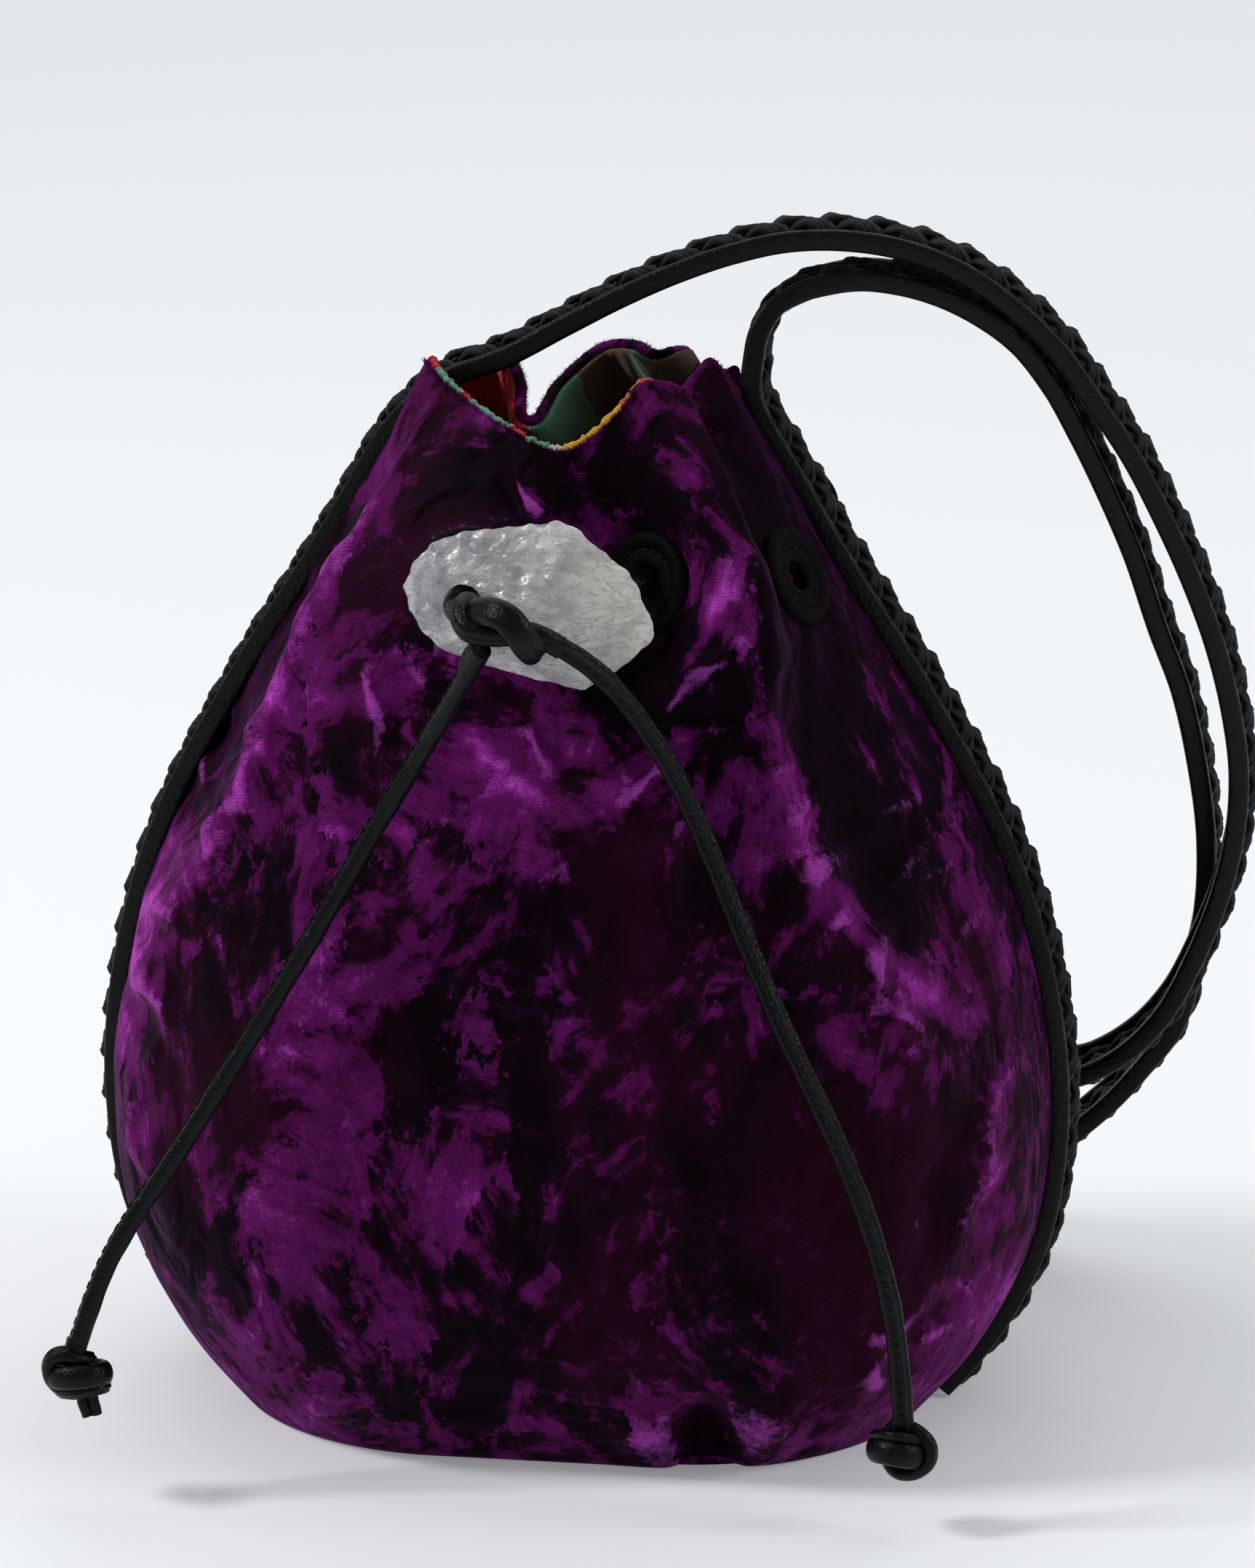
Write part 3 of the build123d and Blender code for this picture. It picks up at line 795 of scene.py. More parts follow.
FRONT_STROKES = [
    # The first stroke is painted shade in the valley right of the right ridge; the others above nought are
    # painted highlights on the ridges' lit edges and tension folds, those below nought painted shade beside
    # them.
    (3.0, -0.42, (29, 240), (38, 227), (47.5, 209), (49.5, 192), (57.5, 167), (68.5, 140), (80, 123)),
    (2.6, 0.24, (28, 177), (33, 189), (41, 204)), (6.0, 0.12, (41, 196), (44, 180), (49, 162), (54, 148)),
    (2.6, 0.08, (38, 238), (45, 224), (50, 214)), (3.0, 0.10, (-44, 226), (-47, 208), (-52, 196)),
    (3.0, 0.18, (-40, 218), (-47, 203), (-57, 186), (-66, 163), (-73, 145), (-84, 126), (-98, 115)),
    (5.0, -0.22, (-55, 204), (-66, 180), (-76, 156), (-86, 140)),
    (3.0, 0.10, (-88, 142), (-96, 128)),
    (5.0, -0.16, (54, 206), (55, 184), (60, 164), (68, 147), (78, 134)),
    (2.6, 0.22, (52, 162), (60, 142), (70, 126), (80, 114), (92, 102)),
    (4.0, -0.10, (12, 176), (24, 174), (32, 190)), (2.4, 0.22, (-16, 167), (-4, 156), (6, 152)),
    (2.4, 0.20, (12, 156), (24, 160), (30, 168)), (2.0, 0.10, (-102, 112), (-90, 104), (-84, 92)),
    (2.4, 0.12, (100, 92), (96, 60), (90, 40)), (2.4, 0.10, (64, 108), (76, 92), (84, 82)),
    (2.0, 0.08, (28, 110), (38, 100), (40, 88)), (2.4, 0.08, (-52, 140), (-40, 150), (-30, 146)),
]
BACK_SPOTS = [
    (-30, 120, 26, 20, 0.08), (40, 80, 30, 26, -0.14), (-60, 60, 26, 24, -0.12), (60, 130, 16, 24, 0.10),
    (0, 40, 30, 16, 0.08), (-10, 190, 24, 20, -0.12), (-84, 110, 16, 26, 0.08), (86, 50, 14, 20, 0.08),
]
BACK_STROKES = [
    (3.0, 0.12, (-46, 210), (-60, 175), (-84, 125)), (4.5, -0.16, (46, 206), (54, 170), (70, 134)),
    (3.0, 0.12, (20, 200), (26, 160), (40, 120)),
]


# Creases: the start and the end in the XZ plane, the half width, and the depth, which is below
# nought for a ridge. Dents: the middle, the half width, the half height and the depth.
FRONT_CREASES = [
    # the ridge that runs down from the right peak, and the hollow on its right
    ((44, 212), (50, 170), 3.0, -1.4), ((52, 172), (68, 126), 4.2, -2.2),
    ((60, 164), (78, 118), 7.0, 2.8), ((66, 134), (86, 98), 3.0, -2.2),
    ((76, 140), (96, 108), 4.0, 1.6),
    # the pocket beside the eyelet and the pleats that cross the ridge
    ((40, 200), (46, 192), 2.4, 2.6), ((24, 172), (40, 188), 2.6, -2.4),
    ((30, 168), (44, 180), 2.6, 1.8),
    # the crease that drops from the mouth's lowest point
    ((-14, 226), (-4, 206), 2.4, 1.8), ((-10, 224), (-1, 208), 2.0, -1.6),
    # tension folds under the stone
    ((-8, 172), (4, 158), 2.2, -1.6), ((2, 166), (14, 154), 2.2, 1.6),
    ((14, 152), (30, 164), 2.4, -2.2), ((20, 150), (38, 158), 2.6, 1.4),
    ((-40, 184), (-36, 160), 2.6, -1.6), ((-34, 190), (-30, 160), 3.0, 1.6),
    # the ridge at the left and the slack under it
    ((-47, 214), (-62, 170), 3.0, -1.6), ((-64, 172), (-80, 130), 3.4, -2.6),
    ((-74, 166), (-92, 128), 4.5, 3.0), ((-82, 128), (-94, 116), 3.0, -1.6),
    ((-100, 112), (-86, 98), 4.0, -2.0), ((-104, 98), (-84, 92), 4.0, 2.2),
    ((-100, 84), (-88, 56), 4.0, -2.0), ((98, 92), (92, 52), 3.0, -1.8),
    ((90, 84), (84, 46), 3.0, 1.8), ((84, 44), (66, 18), 4.0, -2.2), ((92, 46), (76, 16), 4.0, 2.0),
]
# the pinched pleat at the front of the base
FRONT_DENTS = [(36, 8, 6, 9, 9), (23, 9, 7, 8, -2.0), (50, 12, 8, 10, -2.5)]
BACK_CREASES = [
    ((-12, 226), (-10, 150), 6.0, 3.0), ((-52, 170), (-70, 118), 6.0, -2.5),
    ((50, 176), (66, 120), 7.0, -2.5), ((24, 190), (34, 140), 6.0, 2.0),
    ((-96, 84), (-84, 40), 6.0, 1.8), ((90, 78), (84, 36), 6.0, -1.6),
]
# Each panel's shape (side, grid, creases, dents, seed of its wrinkles), its pile with its painted
# light and shade (spots and strokes), and where its lining starts in the stripes and how much of them it
# takes.
PANELS = {
    "front": (
        (-1, (320, 260), FRONT_CREASES, FRONT_DENTS, 11), (FRONT_SPOTS, FRONT_STROKES), (0.0, 0.55),
    ),
    "back": ((1, (240, 190), BACK_CREASES, [], 12), (BACK_SPOTS, BACK_STROKES), (0.55, 0.45)),
}


def shape_panel(side, grid, creases, dents, seed):
    cloth = Cloth(side, *grid)
    for values in creases:
        crease(cloth, *values)
    for values in dents:
        dent(cloth, *values)
    x, y, z = (cloth.points[..., k] for k in range(3))
    amount = wrinkles(x, y, z, seed)
    # weaker towards the rim, and none at the bands and the foot
    under_rim = smoothstep(236, 222, z)
    off_band = np.minimum(smoothstep(0, 0.05, cloth.u), smoothstep(1, 0.95, cloth.u))[None]
    off_foot = smoothstep(0, 10, z)
    cloth.push(amount * (0.35 + 0.65 * under_rim) * off_band * off_foot)
    # the rows stay above the floor, and in their order
    cloth.points[..., 2] = np.maximum(cloth.points[..., 2], 0.05 + 0.002 * cloth.levels[:, None])
    return cloth


def near_holes(cloth, holes, radius):
    """Which cells lie in one of the holes, given as points on the cloth."""
    middle = (cloth.points[:-1, :-1] + cloth.points[1:, 1:]) / 2
    inside = np.zeros(middle.shape[:2], bool)
    for hole in holes:
        inside |= np.linalg.norm(middle - hole, axis=-1) < radius
    return inside


def sheet_piece(name, cloth, offset, thickness, holes, rows_from=0, hole_radius=3.0, pile=None):
    """A panel with real thickness: two skins joined all round, pushed out by offset."""
    skip = near_holes(cloth, holes, hole_radius)[rows_from:]
    normals = cloth.normals()
    if offset < 0:
        # the lining lies inside the folds, where sharp normals would cross
        normals = unit(blurred(normals, LINING_SMOOTHING))
    normals = normals[rows_from:]
    points = cloth.points[rows_from:]
    rows, columns = points.shape[:2]
    uv = np.stack(np.meshgrid(cloth.u, cloth.levels[rows_from:] / TOP), -1).reshape(-1, 2)
    outer = (points + normals * offset).reshape(-1, 3)
    inner = (points + normals * (offset - thickness)).reshape(-1, 3)
    faces = []
    for a in np.arange(rows * columns).reshape(rows, columns)[:-1, :-1][~skip].tolist():
        faces.append((a, a + 1, a + 1 + columns, a + columns))
    back = [tuple(i + rows * columns for i in reversed(f)) for f in faces]
    joined = rim_faces(faces, rows * columns)
    piece = make_mesh(name, np.concatenate([outer, inner]), faces + back + joined, np.concatenate([uv, uv]))
    # the pile's lie, with the painted shade and highlights mixed in, and the ridges for the painted
    # highlight
    if pile is not None:
        for attribute, values in zip(("lie", "fold"), cloth.pile(*pile)):
            layer = piece.data.attributes.new(attribute, "FLOAT", "POINT")
            layer.data.foreach_set("value", np.tile(values[rows_from:].ravel(), 2))
    return piece


def rim_faces(faces, shift):
    """Quads that close a two-skinned sheet along every open edge."""
    edges = dict.fromkeys(edge for face in faces for edge in zip(face, face[1:] + face[:1]))
    return [(b, a, a + shift, b + shift) for a, b in edges if (b, a) not in edges]


def flatten(cloth, centre, normal, radius):
    """Press the cloth flat under an eyelet."""
    away = cloth.points - centre
    height = away @ normal
    distance = np.linalg.norm(away, axis=-1)
    facing = smoothstep(-0.1, 0.3, cloth.normals() @ normal)
    weight = smoothstep(radius + 5, radius - 1, distance) * facing
    cloth.points = cloth.points - (height * weight)[..., None] * normal


# ------------------------------------------------------------------ eyelets

EYELET_RADIUS = 11.0
EYELET_LEVEL, EYELET_SINK, EYELET_SIDES = 200, 0.2, 72
EYELET_PROFILE = [
    (3.5, 0.0), (3.3, 0.8), (3.5, 1.5), (4.2, 2.0), (5.3, 2.1), (6.1, 1.8), (6.7, 1.45), (7.3, 1.75),
    (8.2, 2.3), (9.4, 2.6), (10.3, 2.3), (10.9, 1.6), (11.0, 0.7), (10.8, 0.0),
]
STITCH_RING, STITCH_HEIGHT = 6.7, 1.42      # where the stitches lie on an eyelet
STITCHES, STITCH_TURN, STITCH_RADIUS = 18, 0.10, 0.32
# Name, panel, and about where the eyelet's middle lies; it is moved onto the cloth.
EYELETS = [
    ("front_eyelet_1", "front", (-46.5, -25.0, 199.0)), ("front_eyelet_2", "front", (-18.0, -54.5, 200.5)),
    ("front_eyelet_3", "front", (20.5, -44.0, 199.0)), ("front_eyelet_4", "front", (48.0, -30.5, 197.0)),
    ("back_eyelet_1", "back", (-44.0, 40.0, 200.0)), ("back_eyelet_2", "back", (-19.0, 44.0, 200.0)),
    ("back_eyelet_3", "back", (20.0, 51.0, 200.0)), ("back_eyelet_4", "back", (42.0, 42.0, 200.0)),
]


def eyelet_place(cloth, place):
    """The middle of the eyelet on the cloth and the averaged normal round it."""
    centre = cloth.points[cloth.nearest(place)]
    near = np.linalg.norm(cloth.points - centre, axis=-1) < EYELET_RADIUS / 2 + 0.5
    normal = unit(cloth.normals()[near].mean(0))
    return centre, normal


def capsule(parts, start, end, radius, sides=6):
    """A short rounded thread between two points."""
    start, end = np.asarray(start, float), np.asarray(end, float)
    along = unit(end - start)
    side = unit(np.cross(along, (0.3, 0.5, 0.8)))
    steps = radius * np.array([-0.8, -0.3, 0, 0, 0.3, 0.8])
    steps[3:] += np.linalg.norm(end - start)
    path = start + along * steps[:, None]
    outline = np.stack([circle(radius * width, sides) for width in (0.35, 0.85, 1, 1, 0.85, 0.35)])
    parts.add(*sweep(path, np.repeat(side[None], len(path), 0), outline))


def make_eyelet(name, centre, normal, material, stitches):
    up = unit(np.array([0, 0, 1.0]) - normal * normal[2])
    side = np.cross(up, normal)
    turn = turns(EYELET_SIDES)
    draw = np.random.default_rng(int(abs(centre[0]) * 10))
    wave = 1 + 0.012 * np.sin(turn * 2 + draw.uniform(0, 6)) + 0.008 * np.sin(turn * 5 + draw.uniform(0, 6))
    spoke = np.cos(turn)[:, None] * side + np.sin(turn)[:, None] * up
    points = [
        centre + spoke * (radius * wave)[:, None] + normal * (height - EYELET_SINK)
        for radius, height in EYELET_PROFILE
    ]
    faces = ring_faces(len(points), len(turn), closed=True, flip=True)
    ring = make_mesh(name + "_ring", np.concatenate(points), faces)
    finish_piece(ring, material, "eyelet_leather", "bag", name)
    for angle in turns(STITCHES):
        ends = []
        for shift in (-STITCH_TURN, STITCH_TURN):
            spoke = math.cos(angle + shift) * side + math.sin(angle + shift) * up
            ends.append(centre + spoke * STITCH_RING + normal * STITCH_HEIGHT)
        capsule(stitches, *ends, STITCH_RADIUS)


# ------------------------------------------------------------------ side bands and strap

STRIP_CENTRE = 8.0
STRIP_WIDTH, STRIP_HEIGHT, STRIP_ROUNDING = 3.0, 4.7, 0.95
BAND_OUT = 2.0                   # how far the band's middle lies out of the cloth's side
BAND_LOW, BAND_HIGH = 2.9, 221   # where the side bands start and end
BAND_LEVELS, BAND_SPACING = 34, 0.9
BRAID_PERIOD = 30.0
BRAID_HALF_WIDTH = 4.5
BRAID_HALF_HEIGHT = 2.1
BRAID_PROUD = 1.3                # how far the braid stands out of the strips
BRAID_SUNK = -0.7                # on the strap's inner leg it lies below them
SUNK_FROM, SUNK_TO = (0.52, 0.62), (0.84, 0.80)     # shares of the whole band's length
BRAID_CORD, BRAID_CLEAR = 0.86, 0.1         # a cord's radius, and how far it stays off the floor
BRAID_SPACING = 1.42
CORNER_LOW, CORNER_HIGH = 222.0, 246.0      # the cloth's side passes into the strap between these
CORNER_FROM, CORNER_TO = CORNER_LOW - 4, CORNER_HIGH + 1.5      # where the corner pieces end
# The body that each part of the band rides on, and the stem of the nodes it stands for. The two
# mouth corners have none: they are the band's curve from the bag to the strap.
BANDS = {
    "left_side": ("bag", "left_seam"), "strap": ("strap", "strap"), "right_side": ("bag", "right_seam"),
}
STRAP_ROUTE = [
    (-32, 0, 234), (-17, 1, 240.2), (-3.5, 2.5, 247.5), (8.5, 4, 253.8), (21, 5.5, 259.4),
    (33, 7, 263.6), (45, 8.5, 266.3), (59, 10, 266.6), (71, 11.5, 264.6), (83.5, 13, 259.6),
    (94, 15, 252.3), (104.5, 17, 242.3), (113, 19, 230.3), (121.3, 22, 217.4),
    (128.8, 24.5, 202.8), (135.4, 27, 188), (140.8, 30, 173), (144.7, 33, 157.5),
    (146.9, 36, 141.5), (146.4, 38, 126.5), (143.6, 40, 112), (138, 43, 95.2),
    (130.6, 48.5, 79), (121.5, 55, 67.2), (110, 63, 58.5), (95, 73, 54.5), (78, 82.5, 53),
    (60, 90, 53), (42, 94.5, 53), (22, 96, 51.8), (4, 96, 45), (-3.5, 96, 28), (4, 96, 11),
    (22, 96, 4.2), (40, 96, 3.6), (58, 95.5, 3.7), (75, 94, 6.8), (92, 91, 19), (108, 87.5, 35.5),
    (117, 84, 45.2), (125, 80, 56), (132, 75.5, 67.3), (136.8, 70, 87), (139, 64.5, 104.2),
    (139, 59.5, 120), (136.8, 54, 138), (132.6, 47.5, 158), (127.3, 41, 174), (121.2, 35, 193.2),
    (115.7, 31, 206.8), (109.2, 27, 221), (102.7, 23.5, 233.2), (95.3, 20.5, 242.8),
    (86.7, 18, 249.4), (78, 16, 253.8), (69.4, 14, 256.4), (60.8, 12, 257.4), (54, 10, 256.7),
    (47.4, 8, 254.7), (42.3, 6, 251.2), (39.4, 4, 246), (38.4, 2.5, 240), (38.3, 1, 234),
]


def side_line(sign):
    """The middle of a side band from the base up: the pouch's side, moved out a little."""
    z = np.linspace(BAND_LOW, BAND_HIGH, BAND_LEVELS)
    width = half_sizes(z)[:, 0]
    slope = np.gradient(width, z)
    out = unit(np.stack([np.ones_like(z), -slope], 1))
    return [(sign * (w + BAND_OUT * o[0]), 0, h + BAND_OUT * o[1]) for w, h, o in zip(width, z, out)]


def band_line():
    """The whole band, up the left side, along the strap and down the right side, with its frame."""
    path = smooth_path(side_line(-1) + STRAP_ROUTE + side_line(1)[::-1], BAND_SPACING)
    across = squared(np.array([0, 1.0, 0]), tangents(path))
    return path, np.cross(tangents(path), across), across


def band_parts(path):
    """Where the band belongs to the bag, bends at a mouth corner, and belongs to the strap."""
    end = len(path) - 1
    starts = [int(np.argmax(path[:, 2] > z)) for z in (CORNER_FROM, CORNER_TO)]
    ends = [end - int(np.argmax(path[::-1, 2] > z)) for z in (CORNER_TO, CORNER_FROM)]
    names = ("left_side", "left_corner", "strap", "right_corner", "right_side")
    return list(zip(names, [0] + starts + ends, starts + ends + [end]))


def braid_cords(path, normal, across):
    """The nine cords of the braid: three strands of three, each with the side it lies flat on."""
    run = lengths(path)
    share = run / run[-1]
    sunk = smoothstep(*SUNK_FROM, share) * smoothstep(*SUNK_TO, share)
    proud = BRAID_PROUD + (BRAID_SUNK - BRAID_PROUD) * sunk
    eighth = math.pi / 4
    cords = []
    for strand in range(3):
        phase = 2 * math.pi * (run / BRAID_PERIOD + strand / 3)
        turned = phase % (2 * math.pi)
        lean = math.pi / 2 - math.pi * smoothstep(eighth, 3 * eighth, turned)
        lean = lean + math.pi * smoothstep(5 * eighth, 7 * eighth, turned)
        wide = np.sin(phase)[:, None] * BRAID_HALF_WIDTH * across
        high = (np.sin(2 * phase) * BRAID_HALF_HEIGHT + proud)[:, None] * normal
        middle = path + wide + high
        spread = -np.sin(lean)[:, None] * across + np.cos(lean)[:, None] * normal
        spread = squared(spread, tangents(middle))
        for step in (-1, 0, 1):
            cord = middle + spread * BRAID_SPACING * step
            cord[:, 2] = np.maximum(cord[:, 2], BRAID_CORD + BRAID_CLEAR)
            cords.append((cord, squared(spread, tangents(cord))))
    return cords


def make_bands(leather, cord):
    path, normal, across = band_line()
    cords = braid_cords(path, normal, across)
    strip = rounded_box(STRIP_HEIGHT, STRIP_WIDTH, STRIP_ROUNDING, 3)
    for name, first, last in band_parts(path):
        part = slice(first, last + 1)
        strips, braid = Parts(), Parts()
        for side in (-1, 1):
            line = (path + across * side * STRIP_CENTRE)[part]
            strips.add(*sweep(line, normal[part], strip))
        for line, face in cords:
            braid.add(*sweep(line[part], face[part], circle(BRAID_CORD, 7)))
        body, stem = BANDS.get(name, (None, None))
        strip_nodes = [stem + "_strip_front", stem + "_strip_back"] if stem else []
        braid_nodes = [stem + "_braid"] if stem else []
        pair = [
            finish_piece(strips.make(name + "_strips"), leather, "leather", body, *strip_nodes),
            finish_piece(braid.make(name + "_braid_cords"), cord, "braid_cord", body, *braid_nodes),
        ]
        if body is None:
            for piece in pair:
                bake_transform(piece)


# ------------------------------------------------------------------ quartz

STONE_MIDDLE = (-1.5, -76.0, 201.0)
HOLE_X, HOLE_Z, HOLE_RADIUS = -14.0, 200.5, 4.6
STONE_TURNS, STONE_ROWS, HOLE_ROWS = 300, 74, 12
STONE_REACH, HALVINGS = 70.0, 40        # no edge lies further from the hole; the search's steps
STONE_RIDGES = [(10, 0.5), (5, 0.18), (2.4, 0.05)]      # the fine ridges' spacing and height
# The stone's outline in the XZ plane, from the left tip over the top.
STONE_OUTLINE = [
    (-28.0, 203.5), (-25.6, 208.8), (-21.8, 213.0), (-15.0, 216.2), (-7.0, 216.6), (1.5, 217.4),
    (5.0, 218.8), (10.5, 216.8), (15.8, 212.5), (20.2, 209.2), (22.2, 205.5), (23.6, 200.5),
    (26.6, 194.5), (23.6, 190.0), (18.2, 185.2), (11.0, 181.9), (4.0, 183.2), (-11.0, 186.8),
    (-18.5, 189.2), (-24.2, 193.6), (-26.8, 198.2),
]
# Faces of the stone's front and back: the tilt along X and Z and how far forward they lie.
FRONT_FACES = [
    (0.02, 0.10, -88.4), (-0.32, 0.30, -86.0), (0.24, 0.42, -86.0), (0.27, -0.05, -84.4),
    (0.10, -0.55, -84.6), (-0.36, -0.30, -85.6), (-0.16, 0.02, -87.6),
]
BACK_FACES = [
    (0.05, 0.06, -62.5), (0.20, 0.12, -65.0), (-0.26, 0.20, -65.5), (0.05, -0.50, -65.0),
    (-0.1, 0.52, -65.0),
]
# How steeply the faces fall off at the outline, side by side round the stone.
FRONT_BEVELS, BACK_BEVELS = (1.1, 1.9, 0.9, 1.5), (1.3, 0.9, 1.7)
# Shell-shaped breaks: a ball's middle and radius, each hollowing what it reaches.
BREAKS = [
    ((-9.5, -80.0, 236.5), 20.6), ((-3.0, -106.0, 214.0), 19.6), ((17.0, -104.0, 210.0), 20.2),
    ((30.0, -96.0, 190.0), 17.6), ((-25.0, -101.0, 210.5), 17.2), ((8.0, -106.0, 178.0), 22.5),
    ((-27.0, -98.0, 186.5), 15.2), ((24.0, -78.0, 221.5), 14.2), ((31.5, -76.0, 204.6), 8.6),
    ((-17.5, -97.0, 222.0), 12.6), ((6.0, -101.5, 199.0), 14.0), ((14.5, -98.5, 197.5), 11.2),
    ((-2.0, -92.0, 221.0), 7.0), ((17.0, -88.0, 184.0), 7.6), ((-24.0, -86.0, 203.0), 5.4),
    ((24.0, -60.0, 209.0), 12.0), ((-22.0, -56.0, 208.0), 13.0), ((4.0, -52.0, 186.0), 15.0),
]


def stone_planes(facing, faces, bevels):
    """Each plane as (slope along x, slope along z, depth at the middle) of the front or back."""
    planes = [(-facing * tilt_x, -facing * tilt_z, y) for tilt_x, tilt_z, y in faces]
    middle = np.array(STONE_MIDDLE)[[0, 2]]
    hull = convex(np.array(STONE_OUTLINE, float))
    for index, (start, end) in enumerate(zip(hull, np.roll(hull, -1, axis=0))):
        run = end - start
        out = unit(np.array([-run[1], run[0]]))
        if out @ (start - middle) < 0:
            out = -out
        slope = facing * bevels[index % len(bevels)]
        planes.append((slope * out[0], slope * out[1], STONE_MIDDLE[1] - slope * (out @ (start - middle))))
    return np.array(planes)


def convex(points):
    """The convex hull of points in a plane, in order."""
    points = sorted(map(tuple, points))
    halves = []
    for run in (points, points[::-1]):
        chain = []
        for p in run:
            while len(chain) > 1:
                (ax, ay), (bx, by) = chain[-2], chain[-1]
                if (bx - ax) * (p[1] - ay) - (by - ay) * (p[0] - ax) > 0:
                    break
                chain.pop()
            chain.append(p)
        halves += chain[:-1]
    return np.array(halves)


def stone_depth(planes, x, z, facing):
    dx, dz = x - STONE_MIDDLE[0], z - STONE_MIDDLE[2]
    heights = planes[:, 0] * dx[..., None] + planes[:, 1] * dz[..., None] + planes[:, 2]
    return heights.max(-1) if facing > 0 else heights.min(-1)


def make_stone(material):
    """Rings of points round the hole: out over the front, back over the rear, and along the hole."""
    front = stone_planes(1, FRONT_FACES, FRONT_BEVELS)
    back = stone_planes(-1, BACK_FACES, BACK_BEVELS)
    turn = turns(STONE_TURNS)
    low, high = np.full(STONE_TURNS, HOLE_RADIUS), np.full(STONE_TURNS, STONE_REACH)
    for _ in range(HALVINGS):
        middle = (low + high) / 2
        x, z = HOLE_X + middle * np.cos(turn), HOLE_Z + middle * np.sin(turn)
        inside = stone_depth(front, x, z, 1) < stone_depth(back, x, z, -1)
        low, high = np.where(inside, middle, low), np.where(inside, high, middle)
    share = np.linspace(0, 1, STONE_ROWS)[:, None] ** 0.85
    reach = HOLE_RADIUS + (low - HOLE_RADIUS) * share
    x, z = HOLE_X + reach * np.cos(turn), HOLE_Z + reach * np.sin(turn)
    near = np.dstack([x, stone_depth(front, x, z, 1), z])
    far = np.dstack([x, stone_depth(back, x, z, -1), z])[:-1][::-1]
    wall_share = np.linspace(0, 1, HOLE_ROWS + 2)[1:-1, None, None]
    wall = far[-1][None] * (1 - wall_share) + near[0][None] * wall_share
    points = np.concatenate([near, far, wall])
    skin = points[:len(near) + len(far)]
    for centre, radius in BREAKS:
        away = skin - centre
        skin += unit(away) * np.maximum(radius - np.linalg.norm(away, axis=-1), 0)[..., None]
    draw = np.random.default_rng(5)
    rough = np.zeros(points.shape[:2])
    for size, height in STONE_RIDGES:
        for _ in range(8):
            direction = unit(draw.normal(size=3)) * 2 * math.pi / (size * draw.uniform(0.7, 1.4))
            rough += height / 3 * np.abs(np.sin(points @ direction + draw.uniform(0, 6)))
    grid_up, grid_round = (np.roll(points, -1, axis) - np.roll(points, 1, axis) for axis in (0, 1))
    points = points - unit(np.cross(grid_up, grid_round)) * (rough - rough.mean())[..., None]
    faces = ring_faces(len(points), STONE_TURNS, closed=True)
    stone = make_mesh("quartz_stone", points.reshape(-1, 3), faces)
    finish_piece(stone, material, "quartz", "quartz", "quartz_toggle")
    recalculate(stone)


def recalculate(piece):
    """Turn every face outwards."""
    mesh = bmesh.new()
    mesh.from_mesh(piece.data)
    bmesh.ops.recalc_face_normals(mesh, faces=mesh.faces)
    mesh.to_mesh(piece.data)
    mesh.free()


# ------------------------------------------------------------------ cords and knots

CORD_RADIUS = 2.5
TAIL_SPACING = 0.7              # between a tail's points
SEAM_RADIUS = 0.16              # of its sewing thread
SEAM_HEIGHT = 0.93 * CORD_RADIUS
CORD_FLATNESS, CORD_SIDES = 0.9, 30
# A groove of a cord: its angle in degrees, its depth, and its half width in degrees.
LEG_GROOVES, LEG_SPACING = [(90, 0.5, 16)], 0.8
TAIL_LEFT = [
    (-8, -96, 195), (-14, -90, 184.5), (-22, -83.5, 171), (-34, -81, 151), (-47, -84.5, 127.5),
    (-63.5, -88, 100), (-78, -91, 76.5), (-88.5, -94, 61), (-94.5, -96.5, 48), (-98.4, -98.6, 35),
]
TAIL_RIGHT = [
    (-5, -97, 198.8), (4.5, -96, 198.2), (13.5, -91.5, 192.2), (21.5, -87, 183), (30.5, -83.5, 168),
    (38.5, -82.5, 150), (47, -85, 130), (56, -88.5, 110.5), (66, -90, 91), (74.2, -90.4, 71),
    (79.5, -90.4, 52), (81.8, -90.1, 34), (82.5, -90, 22),
]


def route_points(name, route):
    """Points along the smooth line that the route's points shape, in millimetres."""
    curve = bpy.data.curves.new(name, "CURVE")
    curve.dimensions = "3D"
    curve.resolution_u = 24
    spline = curve.splines.new("NURBS")
    spline.points.add(len(route) - 1)
    for point, place in zip(spline.points, route):
        point.co = (*(np.array(place, float) * MM), 1)
    spline.order_u = 3
    spline.use_endpoint_u = True
    holder = bpy.data.objects.new(name, curve)
    bpy.context.scene.collection.objects.link(holder)
    bpy.context.view_layer.update()
    mesh = bpy.data.meshes.new_from_object(holder)
    points = np.array([v.co for v in mesh.vertices]) / MM
    bpy.data.objects.remove(holder)
    bpy.data.curves.remove(curve)
    bpy.data.meshes.remove(mesh)
    return points


def piping(grooves):
    """The section of the sewn cord: a slightly flat round with narrow grooves."""
    angle = turns(CORD_SIDES)
    size = np.full(CORD_SIDES, CORD_RADIUS)
    for degrees, depth, width in grooves:
        gap = (np.degrees(angle) - degrees + 180) % 360 - 180
        size -= depth * np.exp(-(gap / width) ** 2)
    return np.stack([np.cos(angle) * size, np.sin(angle) * size * CORD_FLATNESS], 1)


